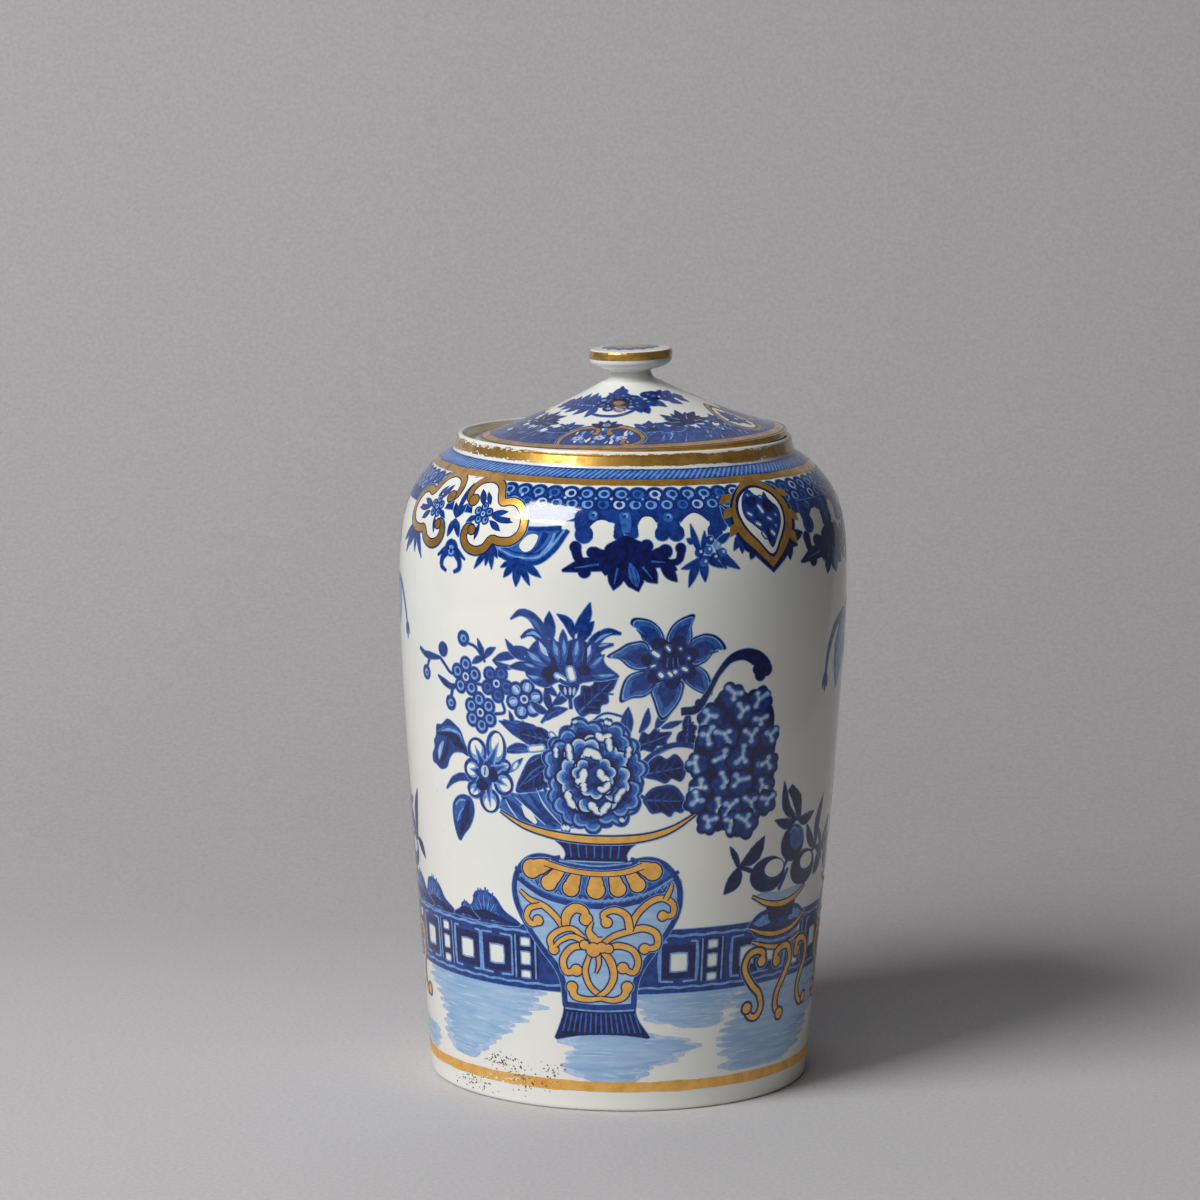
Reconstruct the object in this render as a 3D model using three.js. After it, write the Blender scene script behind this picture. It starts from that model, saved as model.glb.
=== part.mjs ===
// A lidded porcelain storage jar: a thrown body with a foot ring and a stepped mouth, a low domed lid
// that lies loose in the mouth, and a turned knob stuck on the lid with slip.
// Millimetres, +Z up. The origin is the centre of the foot ring, on the plane that the jar stands on.
// +X is to the right of someone who faces the painted front, and -Y points at them.
import * as THREE from 'three';

// Jar body, outside.
const FOOT_RADIUS = 36.3;
const FOOT_BEVEL = 0.4;
const BELLY_RADIUS = 42.8;
const BELLY_HEIGHT = 95;
const WALL_LOWER_LEAN = 1.6; // how far the lower wall has leaned out at WALL_LOWER_RISE
const WALL_LOWER_RISE = 21.5;
const WALL_UPRIGHT = 20; // length below the belly that pulls the wall upright
const SHOULDER_HEIGHT = 120.5; // where the shoulder meets the neck
const SHOULDER_FULLNESS = 12.5; // length above the belly that keeps the shoulder full
const SHOULDER_SPREAD = 9.7; // how far out the top of the shoulder aims
const SHOULDER_DROP = 5.5; // and how far down it aims
const RIM_HEIGHT = 123.6;

// Jar body, inside and underneath.
const BODY_WALL = 3.2;
const FLOOR_THICKNESS = 3.6;
const FLOOR_FILLET = 6;
const FOOT_RING_WIDTH = 4;
const FOOT_RECESS = 1.5;
const MOUTH_RADIUS = 30.7;
const LIP_THICKNESS = 1.6;
const LIP_OUTER_ROUND = 0.9;
const LIP_INNER_ROUND = 0.6;
const LEDGE_DEPTH = 1.5; // how far the ledge that carries the lid lies below the lip
const LEDGE_THICKNESS = 2.6;
const BORE_CHAMFER = 1; // the bore's lower edge is cut back at least this far

// Lid. It lies askew: pushed right until its edge rides up on the lip, left edge down on the ledge.
const LID_PLAY = 1.3; // radial room of the lid in the mouth
const LIP_BEARING = 0.3; // how far the right edge reaches over the lip
const LEDGE_BEARING = 0.7; // how much of the ledge is under the left edge
const SEAT_GAP = 0.25;
const LID_EDGE_THICKNESS = 1.5;
const LID_EDGE_ROUND = 0.35;
const LID_WALL = 2.2;
const LID_RISE = 10.8; // from the underside of the edge up to the seat of the knob
const DOME_DIP_RADIUS = 18.2; // the dome sags towards this point, which makes it slightly hollow
const DOME_DIP_RISE = 4.1;
const FLANGE_CLEARANCE = 0.5;
const FLANGE_WIDTH = 1.8;
const FLANGE_DEPTH = 2.5;

// Knob.
const KNOB_RADIUS = 7.95;
const KNOB_FOOT_RADIUS = 4.9;
const KNOB_WAIST_RADIUS = 3.85;
const KNOB_HEIGHT = 5.65;
const KNOB_EDGE_THICKNESS = 1.9;
const KNOB_TOP_ROUND = 0.6;
const KNOB_WAIST_RISE = 1.3;
const KNOB_SEAT_MARGIN = 0.2;
const SLIP_SEAM = 0.3; // thickness of the slip that sticks the knob to the lid

// What follows from the sizes above.
const NECK_RADIUS = MOUTH_RADIUS + LIP_THICKNESS;
const LEDGE_HEIGHT = RIM_HEIGHT - LEDGE_DEPTH;
const LID_RADIUS = MOUTH_RADIUS - LID_PLAY;
const LID_SHIFT = LID_PLAY + LIP_BEARING;
const BORE_RADIUS = LID_RADIUS - LID_SHIFT - LEDGE_BEARING;
const FLANGE_RADIUS = BORE_RADIUS - LID_SHIFT - FLANGE_CLEARANCE;
const LID_TILT = Math.asin(LEDGE_DEPTH / (2 * LID_RADIUS));
const LID_HEIGHT = RIM_HEIGHT + SEAT_GAP - LEDGE_DEPTH / 2;
const KNOB_SEAT_RADIUS = KNOB_FOOT_RADIUS + KNOB_SEAT_MARGIN;

// How finely the curves and the turns are cut.
const BODY_SIDES = 60;
const LID_SIDES = 60;
const KNOB_SIDES = 40;
const LONG_CURVE_STEPS = 10;
const FILLET_STEPS = 3;

function glazed(color) {
  return new THREE.MeshStandardMaterial({ color, roughness: 0.15, metalness: 0 });
}

// Turns a profile of (radius, height) points about the upright axis.
function turned(name, profile, sides, material) {
  const geometry = new THREE.LatheGeometry(profile, sides);
  geometry.rotateX(Math.PI / 2);
  const mesh = new THREE.Mesh(geometry, material);
  mesh.name = name;
  return mesh;
}

// The points of a curve moved to its left by a wall's thickness, from the end back to the start.
function innerFace(curve, wall) {
  const points = [];
  for (let step = LONG_CURVE_STEPS; step >= 0; step -= 1) {
    const point = curve.getPoint(step / LONG_CURVE_STEPS);
    const tangent = curve.getTangent(step / LONG_CURVE_STEPS);
    points.push(new THREE.Vector2(point.x - tangent.y * wall, point.y + tangent.x * wall));
  }
  return points;
}

// A rounded corner between two points, as the points after the first one.
function roundedCorner(from, corner, to) {
  const curve = new THREE.QuadraticBezierCurve(from, corner, to);
  return curve.getPoints(FILLET_STEPS).slice(1);
}

function at(radius, height) {
  return new THREE.Vector2(radius, height);
}

// The outer wall from the foot to the belly, and the shoulder from the belly to the neck.
function bodyCurves() {
  const foot = at(FOOT_RADIUS, FOOT_BEVEL);
  const belly = at(BELLY_RADIUS, BELLY_HEIGHT);
  const neck = at(NECK_RADIUS, SHOULDER_HEIGHT);
  const wall = new THREE.CubicBezierCurve(
    foot,
    at(FOOT_RADIUS + WALL_LOWER_LEAN, WALL_LOWER_RISE),
    at(BELLY_RADIUS, BELLY_HEIGHT - WALL_UPRIGHT),
    belly,
  );
  const shoulder = new THREE.CubicBezierCurve(
    belly,
    at(BELLY_RADIUS, BELLY_HEIGHT + SHOULDER_FULLNESS),
    at(NECK_RADIUS + SHOULDER_SPREAD, SHOULDER_HEIGHT - SHOULDER_DROP),
    neck,
  );
  return { wall, shoulder };
}

// The foot ring, from the recess under the base out to the start of the wall.
function footProfile() {
  const ringInner = FOOT_RADIUS - FOOT_RING_WIDTH;
  return [
    at(0, FOOT_RECESS),
    at(ringInner - FOOT_RECESS, FOOT_RECESS),
    at(ringInner, 0),
    at(FOOT_RADIUS - FOOT_BEVEL, 0),
  ];
}

// The lip, from the top of the neck over to the wall of the mouth, then the ledge and the bore below it.
function mouthProfile() {
  const crest = at(MOUTH_RADIUS + LIP_THICKNESS / 2, RIM_HEIGHT);
  const outerStart = at(NECK_RADIUS, RIM_HEIGHT - LIP_OUTER_ROUND);
  const innerEnd = at(MOUTH_RADIUS, RIM_HEIGHT - LIP_INNER_ROUND);
  return [
    outerStart,
    ...roundedCorner(outerStart, at(NECK_RADIUS, RIM_HEIGHT), crest),
    ...roundedCorner(crest, at(MOUTH_RADIUS, RIM_HEIGHT), innerEnd),
    at(MOUTH_RADIUS, LEDGE_HEIGHT),
    at(BORE_RADIUS, LEDGE_HEIGHT),
    at(BORE_RADIUS, LEDGE_HEIGHT - LEDGE_THICKNESS),
  ];
}

// The inside, from under the ledge down the wall and across the floor to the axis.
function cavityProfile(wall, shoulder) {
  const floor = FOOT_RECESS + FLOOR_THICKNESS;
  const lowest = floor + FLOOR_FILLET;
  const highest = LEDGE_HEIGHT - LEDGE_THICKNESS - BORE_CHAMFER;
  const shoulderInside = innerFace(shoulder, BODY_WALL);
  const wallInside = innerFace(wall, BODY_WALL).slice(1);
  const sides = [...shoulderInside, ...wallInside].filter(
    (point) => point.y > lowest && point.y < highest && point.x > BORE_RADIUS,
  );
  const last = sides[sides.length - 1];
  return [
    ...sides,
    ...roundedCorner(last, at(last.x, floor), at(last.x - FLOOR_FILLET, floor)),
    at(0, floor),
  ];
}

function jarBody() {
  const { wall, shoulder } = bodyCurves();
  const profile = [
    ...footProfile(),
    ...wall.getPoints(LONG_CURVE_STEPS),
    ...shoulder.getPoints(LONG_CURVE_STEPS).slice(1),
    ...mouthProfile(),
    ...cavityProfile(wall, shoulder),
  ];
  return turned('jar_body', profile, BODY_SIDES, glazed('#e9e7e2'));
}

// The lid in its own frame: height 0 is the underside of its edge.
function lidDome() {
  const shoulder = at(LID_RADIUS - LID_EDGE_ROUND, LID_EDGE_THICKNESS);
  const edgeTop = at(LID_RADIUS, LID_EDGE_THICKNESS - LID_EDGE_ROUND);
  const dome = new THREE.QuadraticBezierCurve(
    shoulder,
    at(DOME_DIP_RADIUS, DOME_DIP_RISE),
    at(KNOB_SEAT_RADIUS, LID_RISE),
  );
  const flangeInner = FLANGE_RADIUS - FLANGE_WIDTH;
  const hollow = innerFace(dome, LID_WALL).filter((point) => point.x < flangeInner);
  const profile = [
    at(0, hollow[0].y),
    ...hollow,
    at(flangeInner, hollow[hollow.length - 1].y),
    at(flangeInner, -FLANGE_DEPTH),
    at(FLANGE_RADIUS, -FLANGE_DEPTH),
    at(FLANGE_RADIUS, 0),
    at(LID_RADIUS - LID_EDGE_ROUND, 0),
    at(LID_RADIUS, LID_EDGE_ROUND),
    edgeTop,
    ...roundedCorner(edgeTop, at(LID_RADIUS, LID_EDGE_THICKNESS), shoulder),
    ...dome.getPoints(LONG_CURVE_STEPS).slice(1),
    at(0, LID_RISE),
  ];
  return turned('lid', profile, LID_SIDES, glazed('#e9e7e2'));
}

// The knob, in the lid's frame, on its layer of slip.
function lidKnob() {
  const foot = LID_RISE + SLIP_SEAM;
  const top = foot + KNOB_HEIGHT;
  const waist = at(KNOB_WAIST_RADIUS, foot + KNOB_WAIST_RISE);
  const edgeBottom = at(KNOB_RADIUS, top - KNOB_EDGE_THICKNESS);
  const edgeTop = at(KNOB_RADIUS, top - KNOB_TOP_ROUND);
  const topEdge = at(KNOB_RADIUS - KNOB_TOP_ROUND, top);
  const footEdge = at(KNOB_FOOT_RADIUS, foot);
  const profile = [
    at(0, foot),
    footEdge,
    ...roundedCorner(footEdge, at(KNOB_WAIST_RADIUS, foot + KNOB_WAIST_RISE / 4), waist),
    ...roundedCorner(waist, at(KNOB_WAIST_RADIUS, edgeBottom.y - KNOB_WAIST_RISE), edgeBottom),
    edgeTop,
    ...roundedCorner(edgeTop, at(KNOB_RADIUS, top), topEdge),
    at(0, top),
  ];
  return turned('lid_knob', profile, KNOB_SIDES, glazed('#e4e6e6'));
}

const jar = new THREE.Group();
jar.add(jarBody());

// The lid and its knob share one group, so that both lie askew together.
const cover = new THREE.Group();
cover.position.set(LID_SHIFT, 0, LID_HEIGHT);
cover.rotation.y = -LID_TILT;
cover.add(lidDome(), lidKnob());
jar.add(cover);

export default jar;
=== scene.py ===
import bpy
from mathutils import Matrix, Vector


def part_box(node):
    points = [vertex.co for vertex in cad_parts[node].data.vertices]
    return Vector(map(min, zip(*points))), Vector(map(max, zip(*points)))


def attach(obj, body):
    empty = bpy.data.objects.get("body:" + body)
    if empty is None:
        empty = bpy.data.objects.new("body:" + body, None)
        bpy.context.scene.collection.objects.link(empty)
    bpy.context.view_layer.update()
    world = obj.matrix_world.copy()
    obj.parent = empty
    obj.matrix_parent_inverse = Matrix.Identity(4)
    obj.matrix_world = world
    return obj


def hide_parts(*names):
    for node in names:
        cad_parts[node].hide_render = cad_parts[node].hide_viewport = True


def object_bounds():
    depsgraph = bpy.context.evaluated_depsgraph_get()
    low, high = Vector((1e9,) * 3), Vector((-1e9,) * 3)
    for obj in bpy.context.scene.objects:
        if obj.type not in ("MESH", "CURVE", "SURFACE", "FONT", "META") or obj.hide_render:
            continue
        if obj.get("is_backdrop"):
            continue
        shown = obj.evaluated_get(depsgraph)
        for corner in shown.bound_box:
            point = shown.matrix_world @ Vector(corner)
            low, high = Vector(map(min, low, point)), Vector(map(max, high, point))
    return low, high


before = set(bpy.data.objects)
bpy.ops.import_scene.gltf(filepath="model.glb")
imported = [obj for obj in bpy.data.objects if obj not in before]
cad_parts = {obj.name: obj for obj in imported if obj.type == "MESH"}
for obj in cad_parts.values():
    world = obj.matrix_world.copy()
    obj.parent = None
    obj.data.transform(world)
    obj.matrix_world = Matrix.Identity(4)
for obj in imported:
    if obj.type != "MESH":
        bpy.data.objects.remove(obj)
cad_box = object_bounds()

# %% [markdown]
# ## Units and small helpers
# Blender works in metres. The jar is described in millimetres, so every size is multiplied by MM once.
# Colours are picked as screen colours, in hex, while shaders calculate with linear light. One function
# turns the first into the second.
# %% Modules, units and colours
import math

import bpy
import numpy
from mathutils import Matrix, Vector
from mathutils.geometry import delaunay_2d_cdt

MM = 0.001
scene = bpy.context.scene


def linear(code):
    """A hex screen colour as the linear red, green, blue and alpha that shaders use."""
    channels = [int(code[start:start + 2], 16) / 255 for start in (1, 3, 5)]
    light = [c / 12.92 if c <= 0.04045 else ((c + 0.055) / 1.055) ** 2.4 for c in channels]
    return (*light, 1.0)


# %% [markdown]
# A node tree is a list of nodes and the links between them. This helper adds one node: its settings are
# the node's own properties, and its links are either another node's output or a plain value.
# %% Add one node
def add(tree, kind, links=None, **settings):
    """One new node of this kind in the tree."""
    made = tree.nodes.new(kind)
    for name, value in settings.items():
        setattr(made, name, value)
    for key, value in (links or {}).items():
        if isinstance(value, bpy.types.NodeSocket):
            tree.links.new(value, made.inputs[key])
        else:
            made.inputs[key].default_value = value
    return made


# %% [markdown]
# ## Sizes
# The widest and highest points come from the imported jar. The other sizes are the potter's: how thick
# the wall is, how the shoulder runs in, how deep the lid's ledge lies below the lip.
# %% Sizes of the jar
jar_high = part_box("jar_body")[1]
BELLY_RADIUS = jar_high.x
RIM_HEIGHT = jar_high.z
BELLY_HEIGHT = 95 * MM
FOOT_RADIUS = 36.3 * MM
FOOT_BEVEL = 0.4 * MM
FOOT_RING_WIDTH = 4 * MM
FOOT_RECESS = 1.5 * MM
FLOOR_THICKNESS = 3.6 * MM
FLOOR_FILLET = 6 * MM
HOLLOW_START = 1 * MM
WALL = 3.2 * MM
WALL_LOWER_LEAN = 1.6 * MM
WALL_LOWER_RISE = 21.5 * MM
WALL_UPRIGHT = 20 * MM
SHOULDER_HEIGHT = 120.5 * MM
SHOULDER_FULLNESS = 12.5 * MM
SHOULDER_SPREAD = 9.7 * MM
SHOULDER_DROP = 5.5 * MM
MOUTH_RADIUS = 30.7 * MM
LIP_THICKNESS = 1.6 * MM
LIP_ROUND_OUTSIDE = 1 * MM
LIP_ROUND_INSIDE = 0.6 * MM
LIP_UNDERCUT = 0.15 * MM
LEDGE_DEPTH = 2.1 * MM
LEDGE_THICKNESS = 2.6 * MM
NECK_RADIUS = MOUTH_RADIUS + LIP_THICKNESS
NECK_FLARE = 0.3 * MM
LIP_LEAN = 0.6 * MM
LEDGE_HEIGHT = RIM_HEIGHT - LEDGE_DEPTH
print("belly radius %.1f mm, rim at %.1f mm" % (BELLY_RADIUS / MM, RIM_HEIGHT / MM))

# %% Sizes of the lid and its knob
LID_PLAY = 1.3 * MM
LIP_BEARING = 0.3 * MM
LEDGE_BEARING = 0.7 * MM
SEAT_GAP = 0.05 * MM
LID_RADIUS = MOUTH_RADIUS - LID_PLAY
LID_SHIFT = LID_PLAY + LIP_BEARING
BORE_RADIUS = LID_RADIUS - LID_SHIFT - LEDGE_BEARING
LID_EDGE = 1.2 * MM
LID_EDGE_SLOPE = 0.35 * MM
LID_WALL = 2.2 * MM
LID_RISE = 11.2 * MM
DOME_DIP = Vector((18.2 * MM, 4.1 * MM))
DOME_MARGIN = 0.2 * MM
FLANGE_PLAY = 0.5 * MM
FLANGE_RADIUS = BORE_RADIUS - LID_SHIFT - FLANGE_PLAY
FLANGE_WIDTH = 1.8 * MM
FLANGE_DEPTH = 2.5 * MM
LID_TILT = math.asin(LEDGE_DEPTH / (2 * LID_RADIUS))
LID_PLACE = Vector((LID_SHIFT, 0, RIM_HEIGHT + SEAT_GAP - LEDGE_DEPTH / 2))
KNOB_RADIUS = 7.95 * MM
KNOB_FOOT_RADIUS = 4.9 * MM
KNOB_WAIST_RADIUS = 3.85 * MM
KNOB_WAIST_RISE = 1.3 * MM
KNOB_WAIST_LEAN = 0.1 * MM
KNOB_BOTTOM = LID_RISE + 0.3 * MM
KNOB_TOP = KNOB_BOTTOM + 5.65 * MM
KNOB_EDGE = 1.9 * MM
KNOB_EDGE_LEAN = 0.1 * MM
KNOB_EDGE_SETBACK = 0.15 * MM
KNOB_SWELL = 0.5 * MM
KNOB_SWELL_START = 2.4 * MM
KNOB_ROUND = 0.7 * MM
KNOB_CUP_DEPTH = 1.9 * MM
KNOB_CUP_INSET = 0.3 * MM
COLLAR_SPREAD = 0.9 * MM
COLLAR_SINK = 0.45 * MM
print("the lid lies %.2f degrees askew" % math.degrees(LID_TILT))

# %% [markdown]
# ## The profile of a turned pot
# A thrown pot is one line turned about an axis. So its shape is drawn as that line: points of
# (radius, height), with long stretches as Bezier curves. Clay never keeps a sharp corner under the
# sponge, so corners get a small round, and long straight stretches get extra points, which keeps smooth
# shading true beside the rounds.
# %% Lines for the profiles
CORNER_ROUND = 0.35 * MM
CORNER_TURN = math.radians(25)
LONGEST_STEP = 1.2 * MM
CURVE_STEPS = 48


def bezier(controls, steps=CURVE_STEPS):
    """Points along a Bezier curve with any number of control points."""
    points = []
    for step in range(steps + 1):
        level = [Vector(control) for control in controls]
        while len(level) > 1:
            level = [a.lerp(b, step / steps) for a, b in zip(level, level[1:])]
        points.append(level[0])
    return points


def moved_in(curve, wall):
    """The curve moved to its left by a wall's thickness, from its end back to its start."""
    moved = []
    for index, point in enumerate(curve):
        before = curve[max(index - 1, 0)]
        after = curve[min(index + 1, len(curve) - 1)]
        along = (after - before).normalized()
        moved.append(point + Vector((-along.y, along.x)) * wall)
    return moved[::-1]


def rounded(points, size=CORNER_ROUND):
    """The line with each sharp corner turned into a small round."""
    line = [Vector(points[0])]
    for before, point, after in zip(points, points[1:], points[2:]):
        before, point, after = Vector(before), Vector(point), Vector(after)
        back, ahead = before - point, after - point
        if math.pi - back.angle(ahead, math.pi) < CORNER_TURN:
            line.append(point)
            continue
        start = point + back.normalized() * min(size, back.length / 2)
        end = point + ahead.normalized() * min(size, ahead.length / 2)
        line.extend(bezier([start, point, end], 4))
    line.append(Vector(points[-1]))
    return line


def filled_in(points):
    """The line with points added wherever two are far apart."""
    line = [points[0]]
    for a, b in zip(points, points[1:]):
        parts = max(1, math.ceil((b - a).length / LONGEST_STEP))
        line.extend(a.lerp(b, part / parts) for part in range(1, parts + 1))
    return line


# %% The jar's profile
def jar_outside():
    """The outer wall from the foot to the belly, and the shoulder from the belly to the neck."""
    wall = bezier([
        (FOOT_RADIUS, FOOT_BEVEL),
        (FOOT_RADIUS + WALL_LOWER_LEAN, WALL_LOWER_RISE),
        (BELLY_RADIUS, BELLY_HEIGHT - WALL_UPRIGHT),
        (BELLY_RADIUS, BELLY_HEIGHT),
    ], 2 * CURVE_STEPS)
    shoulder = bezier([
        (BELLY_RADIUS, BELLY_HEIGHT),
        (BELLY_RADIUS, BELLY_HEIGHT + SHOULDER_FULLNESS),
        (NECK_RADIUS + SHOULDER_SPREAD, SHOULDER_HEIGHT - SHOULDER_DROP),
        (NECK_RADIUS + NECK_FLARE, SHOULDER_HEIGHT),
    ])
    return wall, shoulder


def outer_lip():
    """From the leaning neck over the outer edge of the lip to its crest."""
    outer = NECK_RADIUS - LIP_LEAN
    return bezier([
        (outer + LIP_UNDERCUT, RIM_HEIGHT - LIP_ROUND_OUTSIDE),
        (outer, RIM_HEIGHT),
        ((MOUTH_RADIUS + outer) / 2, RIM_HEIGHT),
    ], 6)


def jar_profile():
    """The whole line, from the axis under the base, up the outside, over the lip and down the inside."""
    wall, shoulder = jar_outside()
    ring_inner = FOOT_RADIUS - FOOT_RING_WIDTH
    foot = [(0, FOOT_RECESS), (ring_inner - FOOT_RECESS, FOOT_RECESS), (ring_inner, 0)]
    outer = outer_lip()
    lip = outer + bezier([
        outer[-1],
        (MOUTH_RADIUS, RIM_HEIGHT),
        (MOUTH_RADIUS, RIM_HEIGHT - LIP_ROUND_INSIDE),
    ], 6)[1:]
    ledge_under = LEDGE_HEIGHT - LEDGE_THICKNESS
    ledge = [(MOUTH_RADIUS, LEDGE_HEIGHT), (BORE_RADIUS, LEDGE_HEIGHT), (BORE_RADIUS, ledge_under)]
    floor = FOOT_RECESS + FLOOR_THICKNESS
    inside = moved_in(shoulder, WALL) + moved_in(wall, WALL)[1:]
    hollow = [p for p in inside
              if floor + FLOOR_FILLET < p.y < ledge_under - HOLLOW_START and p.x > BORE_RADIUS]
    corner = Vector((hollow[-1].x, floor))
    fillet = bezier([hollow[-1], corner, corner - Vector((FLOOR_FILLET, 0))], 8)[1:]
    outside = [(FOOT_RADIUS - FOOT_BEVEL, 0)] + wall + shoulder[1:]
    return filled_in(rounded(foot + outside + lip + ledge + hollow + fillet + [(0, floor)]))


print("jar profile: %d points" % len(jar_profile()))


# %% [markdown]
# The lid is a shallow dome, slightly hollow like a Chinese hat, with a flange underneath that keeps it
# in the mouth. The knob is turned as a piece of its own and stuck on with liquid clay, which leaves a
# soft collar where the two meet.
# %% The profiles of the lid and the knob
def dome_line():
    """The top of the lid, from its edge up to the knob's foot."""
    return bezier([
        (LID_RADIUS - LID_EDGE_SLOPE, LID_EDGE),
        DOME_DIP,
        (KNOB_FOOT_RADIUS + DOME_MARGIN, LID_RISE),
    ])


def lid_profile():
    """The lid's line, from the axis underneath, over the flange and the edge, up to the axis on top."""
    inner = FLANGE_RADIUS - FLANGE_WIDTH
    hollow = [p for p in moved_in(dome_line(), LID_WALL) if p.x < inner]
    flange = [(inner, -FLANGE_DEPTH), (FLANGE_RADIUS, -FLANGE_DEPTH), (FLANGE_RADIUS, 0)]
    edge = [(LID_RADIUS, 0), (LID_RADIUS, LID_EDGE)]
    under = [(0, hollow[0].y)] + hollow
    return filled_in(rounded(under + flange + edge + dome_line() + [(0, LID_RISE)]))


def knob_profile():
    """The knob's line, from its collar of slip on the lid up over the button to the axis."""
    lip = Vector((KNOB_RADIUS, KNOB_TOP - KNOB_EDGE))
    waist = Vector((KNOB_WAIST_RADIUS, KNOB_BOTTOM + KNOB_WAIST_RISE))
    collar = bezier([
        (KNOB_FOOT_RADIUS + COLLAR_SPREAD, LID_RISE - COLLAR_SINK),
        (KNOB_WAIST_RADIUS, KNOB_BOTTOM),
        waist,
    ], 10)
    cup = bezier([
        waist,
        (KNOB_WAIST_RADIUS + KNOB_WAIST_LEAN, lip.y - KNOB_CUP_DEPTH),
        (KNOB_RADIUS - KNOB_CUP_INSET, lip.y - KNOB_CUP_DEPTH),
        lip,
    ], 14)[1:-1]
    return filled_in(collar + cup + knob_button())


def knob_button():
    """The button's rounded edge and its gently swelling top, from below inwards to the axis."""
    edge = rounded([
        (KNOB_RADIUS - KNOB_EDGE_LEAN, KNOB_TOP - KNOB_EDGE),
        (KNOB_RADIUS, KNOB_TOP - KNOB_EDGE / 2),
        (KNOB_RADIUS - KNOB_EDGE_SETBACK, KNOB_TOP),
        (KNOB_RADIUS - KNOB_SWELL_START, KNOB_TOP + 0.3 * KNOB_SWELL),
    ], KNOB_ROUND)
    highest = KNOB_TOP + KNOB_SWELL
    return edge + bezier([edge[-1], (KNOB_RADIUS * 0.35, highest), (0, highest)], 8)[1:]


print("lid profile: %d points, knob: %d points" % (len(lid_profile()), len(knob_profile())))

# %% [markdown]
# ## Throwing: the line becomes a pot
# Turning a line about an axis is a rule, so Geometry Nodes do it. The tree makes a grid with one row
# for each point of the line and one column for each step of the turn. Each grid point then looks up
# its place on the line and is swung round the axis. Merging the points that fall together closes the
# seam of the turn and the poles on the axis.
# %% A tree with named inputs, and how to run it
def new_tree(name, inputs):
    """A Geometry Nodes tree with these inputs after its Geometry, its input node and its output node."""
    tree = bpy.data.node_groups.new(name, "GeometryNodeTree")
    sockets = [("Geometry", "NodeSocketGeometry")] + inputs
    for label, kind in sockets:
        tree.interface.new_socket(name=label, in_out="INPUT", socket_type=kind)
    tree.interface.new_socket(name="Geometry", in_out="OUTPUT", socket_type="NodeSocketGeometry")
    return tree, tree.nodes.new("NodeGroupInput"), tree.nodes.new("NodeGroupOutput")


def grown(name, mesh, tree, values):
    """The plain object that the tree makes out of the mesh with these input values."""
    raw = bpy.data.objects.new(name + "_raw", mesh)
    scene.collection.objects.link(raw)
    modifier = raw.modifiers.new("tree", "NODES")
    modifier.node_group = tree
    for item in tree.interface.items_tree:
        if item.in_out == "INPUT" and item.name in values:
            modifier[item.identifier] = values[item.name]
    depsgraph = bpy.context.evaluated_depsgraph_get()
    finished = bpy.data.meshes.new_from_object(raw.evaluated_get(depsgraph), depsgraph=depsgraph)
    finished.name = name
    bpy.data.objects.remove(raw)
    piece = bpy.data.objects.new(name, finished)
    scene.collection.objects.link(piece)
    print("%s: %d faces" % (name, len(finished.polygons)))
    return piece


# %% The turning tree
WELD = 0.001


def turning_tree():
    """Turns the line of a mesh about the Z axis."""
    tree, start, end = new_tree("turned_on_the_wheel", [
        ("Sides", "NodeSocketInt"),
        ("Material", "NodeSocketMaterial"),
    ])
    count = add(tree, "GeometryNodeAttributeDomainSize", {0: start.outputs["Geometry"]}).outputs[0]
    columns = add(tree, "FunctionNodeIntegerMath", {0: start.outputs["Sides"], 1: 1}, operation="ADD")
    grid = add(tree, "GeometryNodeMeshGrid", {"Vertices X": columns.outputs[0], "Vertices Y": count})
    index = add(tree, "GeometryNodeInputIndex").outputs[0]
    column = add(tree, "FunctionNodeIntegerMath", {0: index, 1: count}, operation="DIVIDE_FLOOR")
    row = add(tree, "FunctionNodeIntegerMath", {0: index, 1: count}, operation="MODULO")
    place = add(tree, "GeometryNodeInputPosition").outputs[0]
    on_line = add(tree, "GeometryNodeSampleIndex", {
        "Geometry": start.outputs["Geometry"], "Value": place, "Index": row.outputs[0],
    }, data_type="FLOAT_VECTOR")
    share = add(tree, "ShaderNodeMath", {0: column.outputs[0], 1: start.outputs["Sides"]},
                operation="DIVIDE")
    angle = add(tree, "ShaderNodeMath", {0: share.outputs[0], 1: math.tau}, operation="MULTIPLY")
    swung = add(tree, "ShaderNodeVectorRotate", {
        "Vector": on_line.outputs[0], "Angle": angle.outputs[0],
    }, rotation_type="Z_AXIS")
    shaped = add(tree, "GeometryNodeSetPosition", {
        "Geometry": grid.outputs["Mesh"], "Position": swung.outputs[0],
    })
    merged = add(tree, "GeometryNodeMergeByDistance", {
        "Geometry": shaped.outputs[0], "Distance": WELD * MM,
    })
    smooth = add(tree, "GeometryNodeSetShadeSmooth", {0: merged.outputs[0]})
    real = add(tree, "GeometryNodeRealizeInstances", {0: smooth.outputs[0]})
    coated = add(tree, "GeometryNodeSetMaterial", {
        "Geometry": real.outputs[0], "Material": start.outputs["Material"],
    })
    tree.links.new(coated.outputs[0], end.inputs[0])
    return tree


TURNING = turning_tree()


def turned(name, line, sides, material):
    """A piece turned from a line of (radius, height) points."""
    mesh = bpy.data.meshes.new(name + "_line")
    edges = [(i, i + 1) for i in range(len(line) - 1)]
    mesh.from_pydata([(p.x, 0, p.y) for p in line], edges, [])
    return grown(name, mesh, TURNING, {"Sides": sides, "Material": material})


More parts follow.
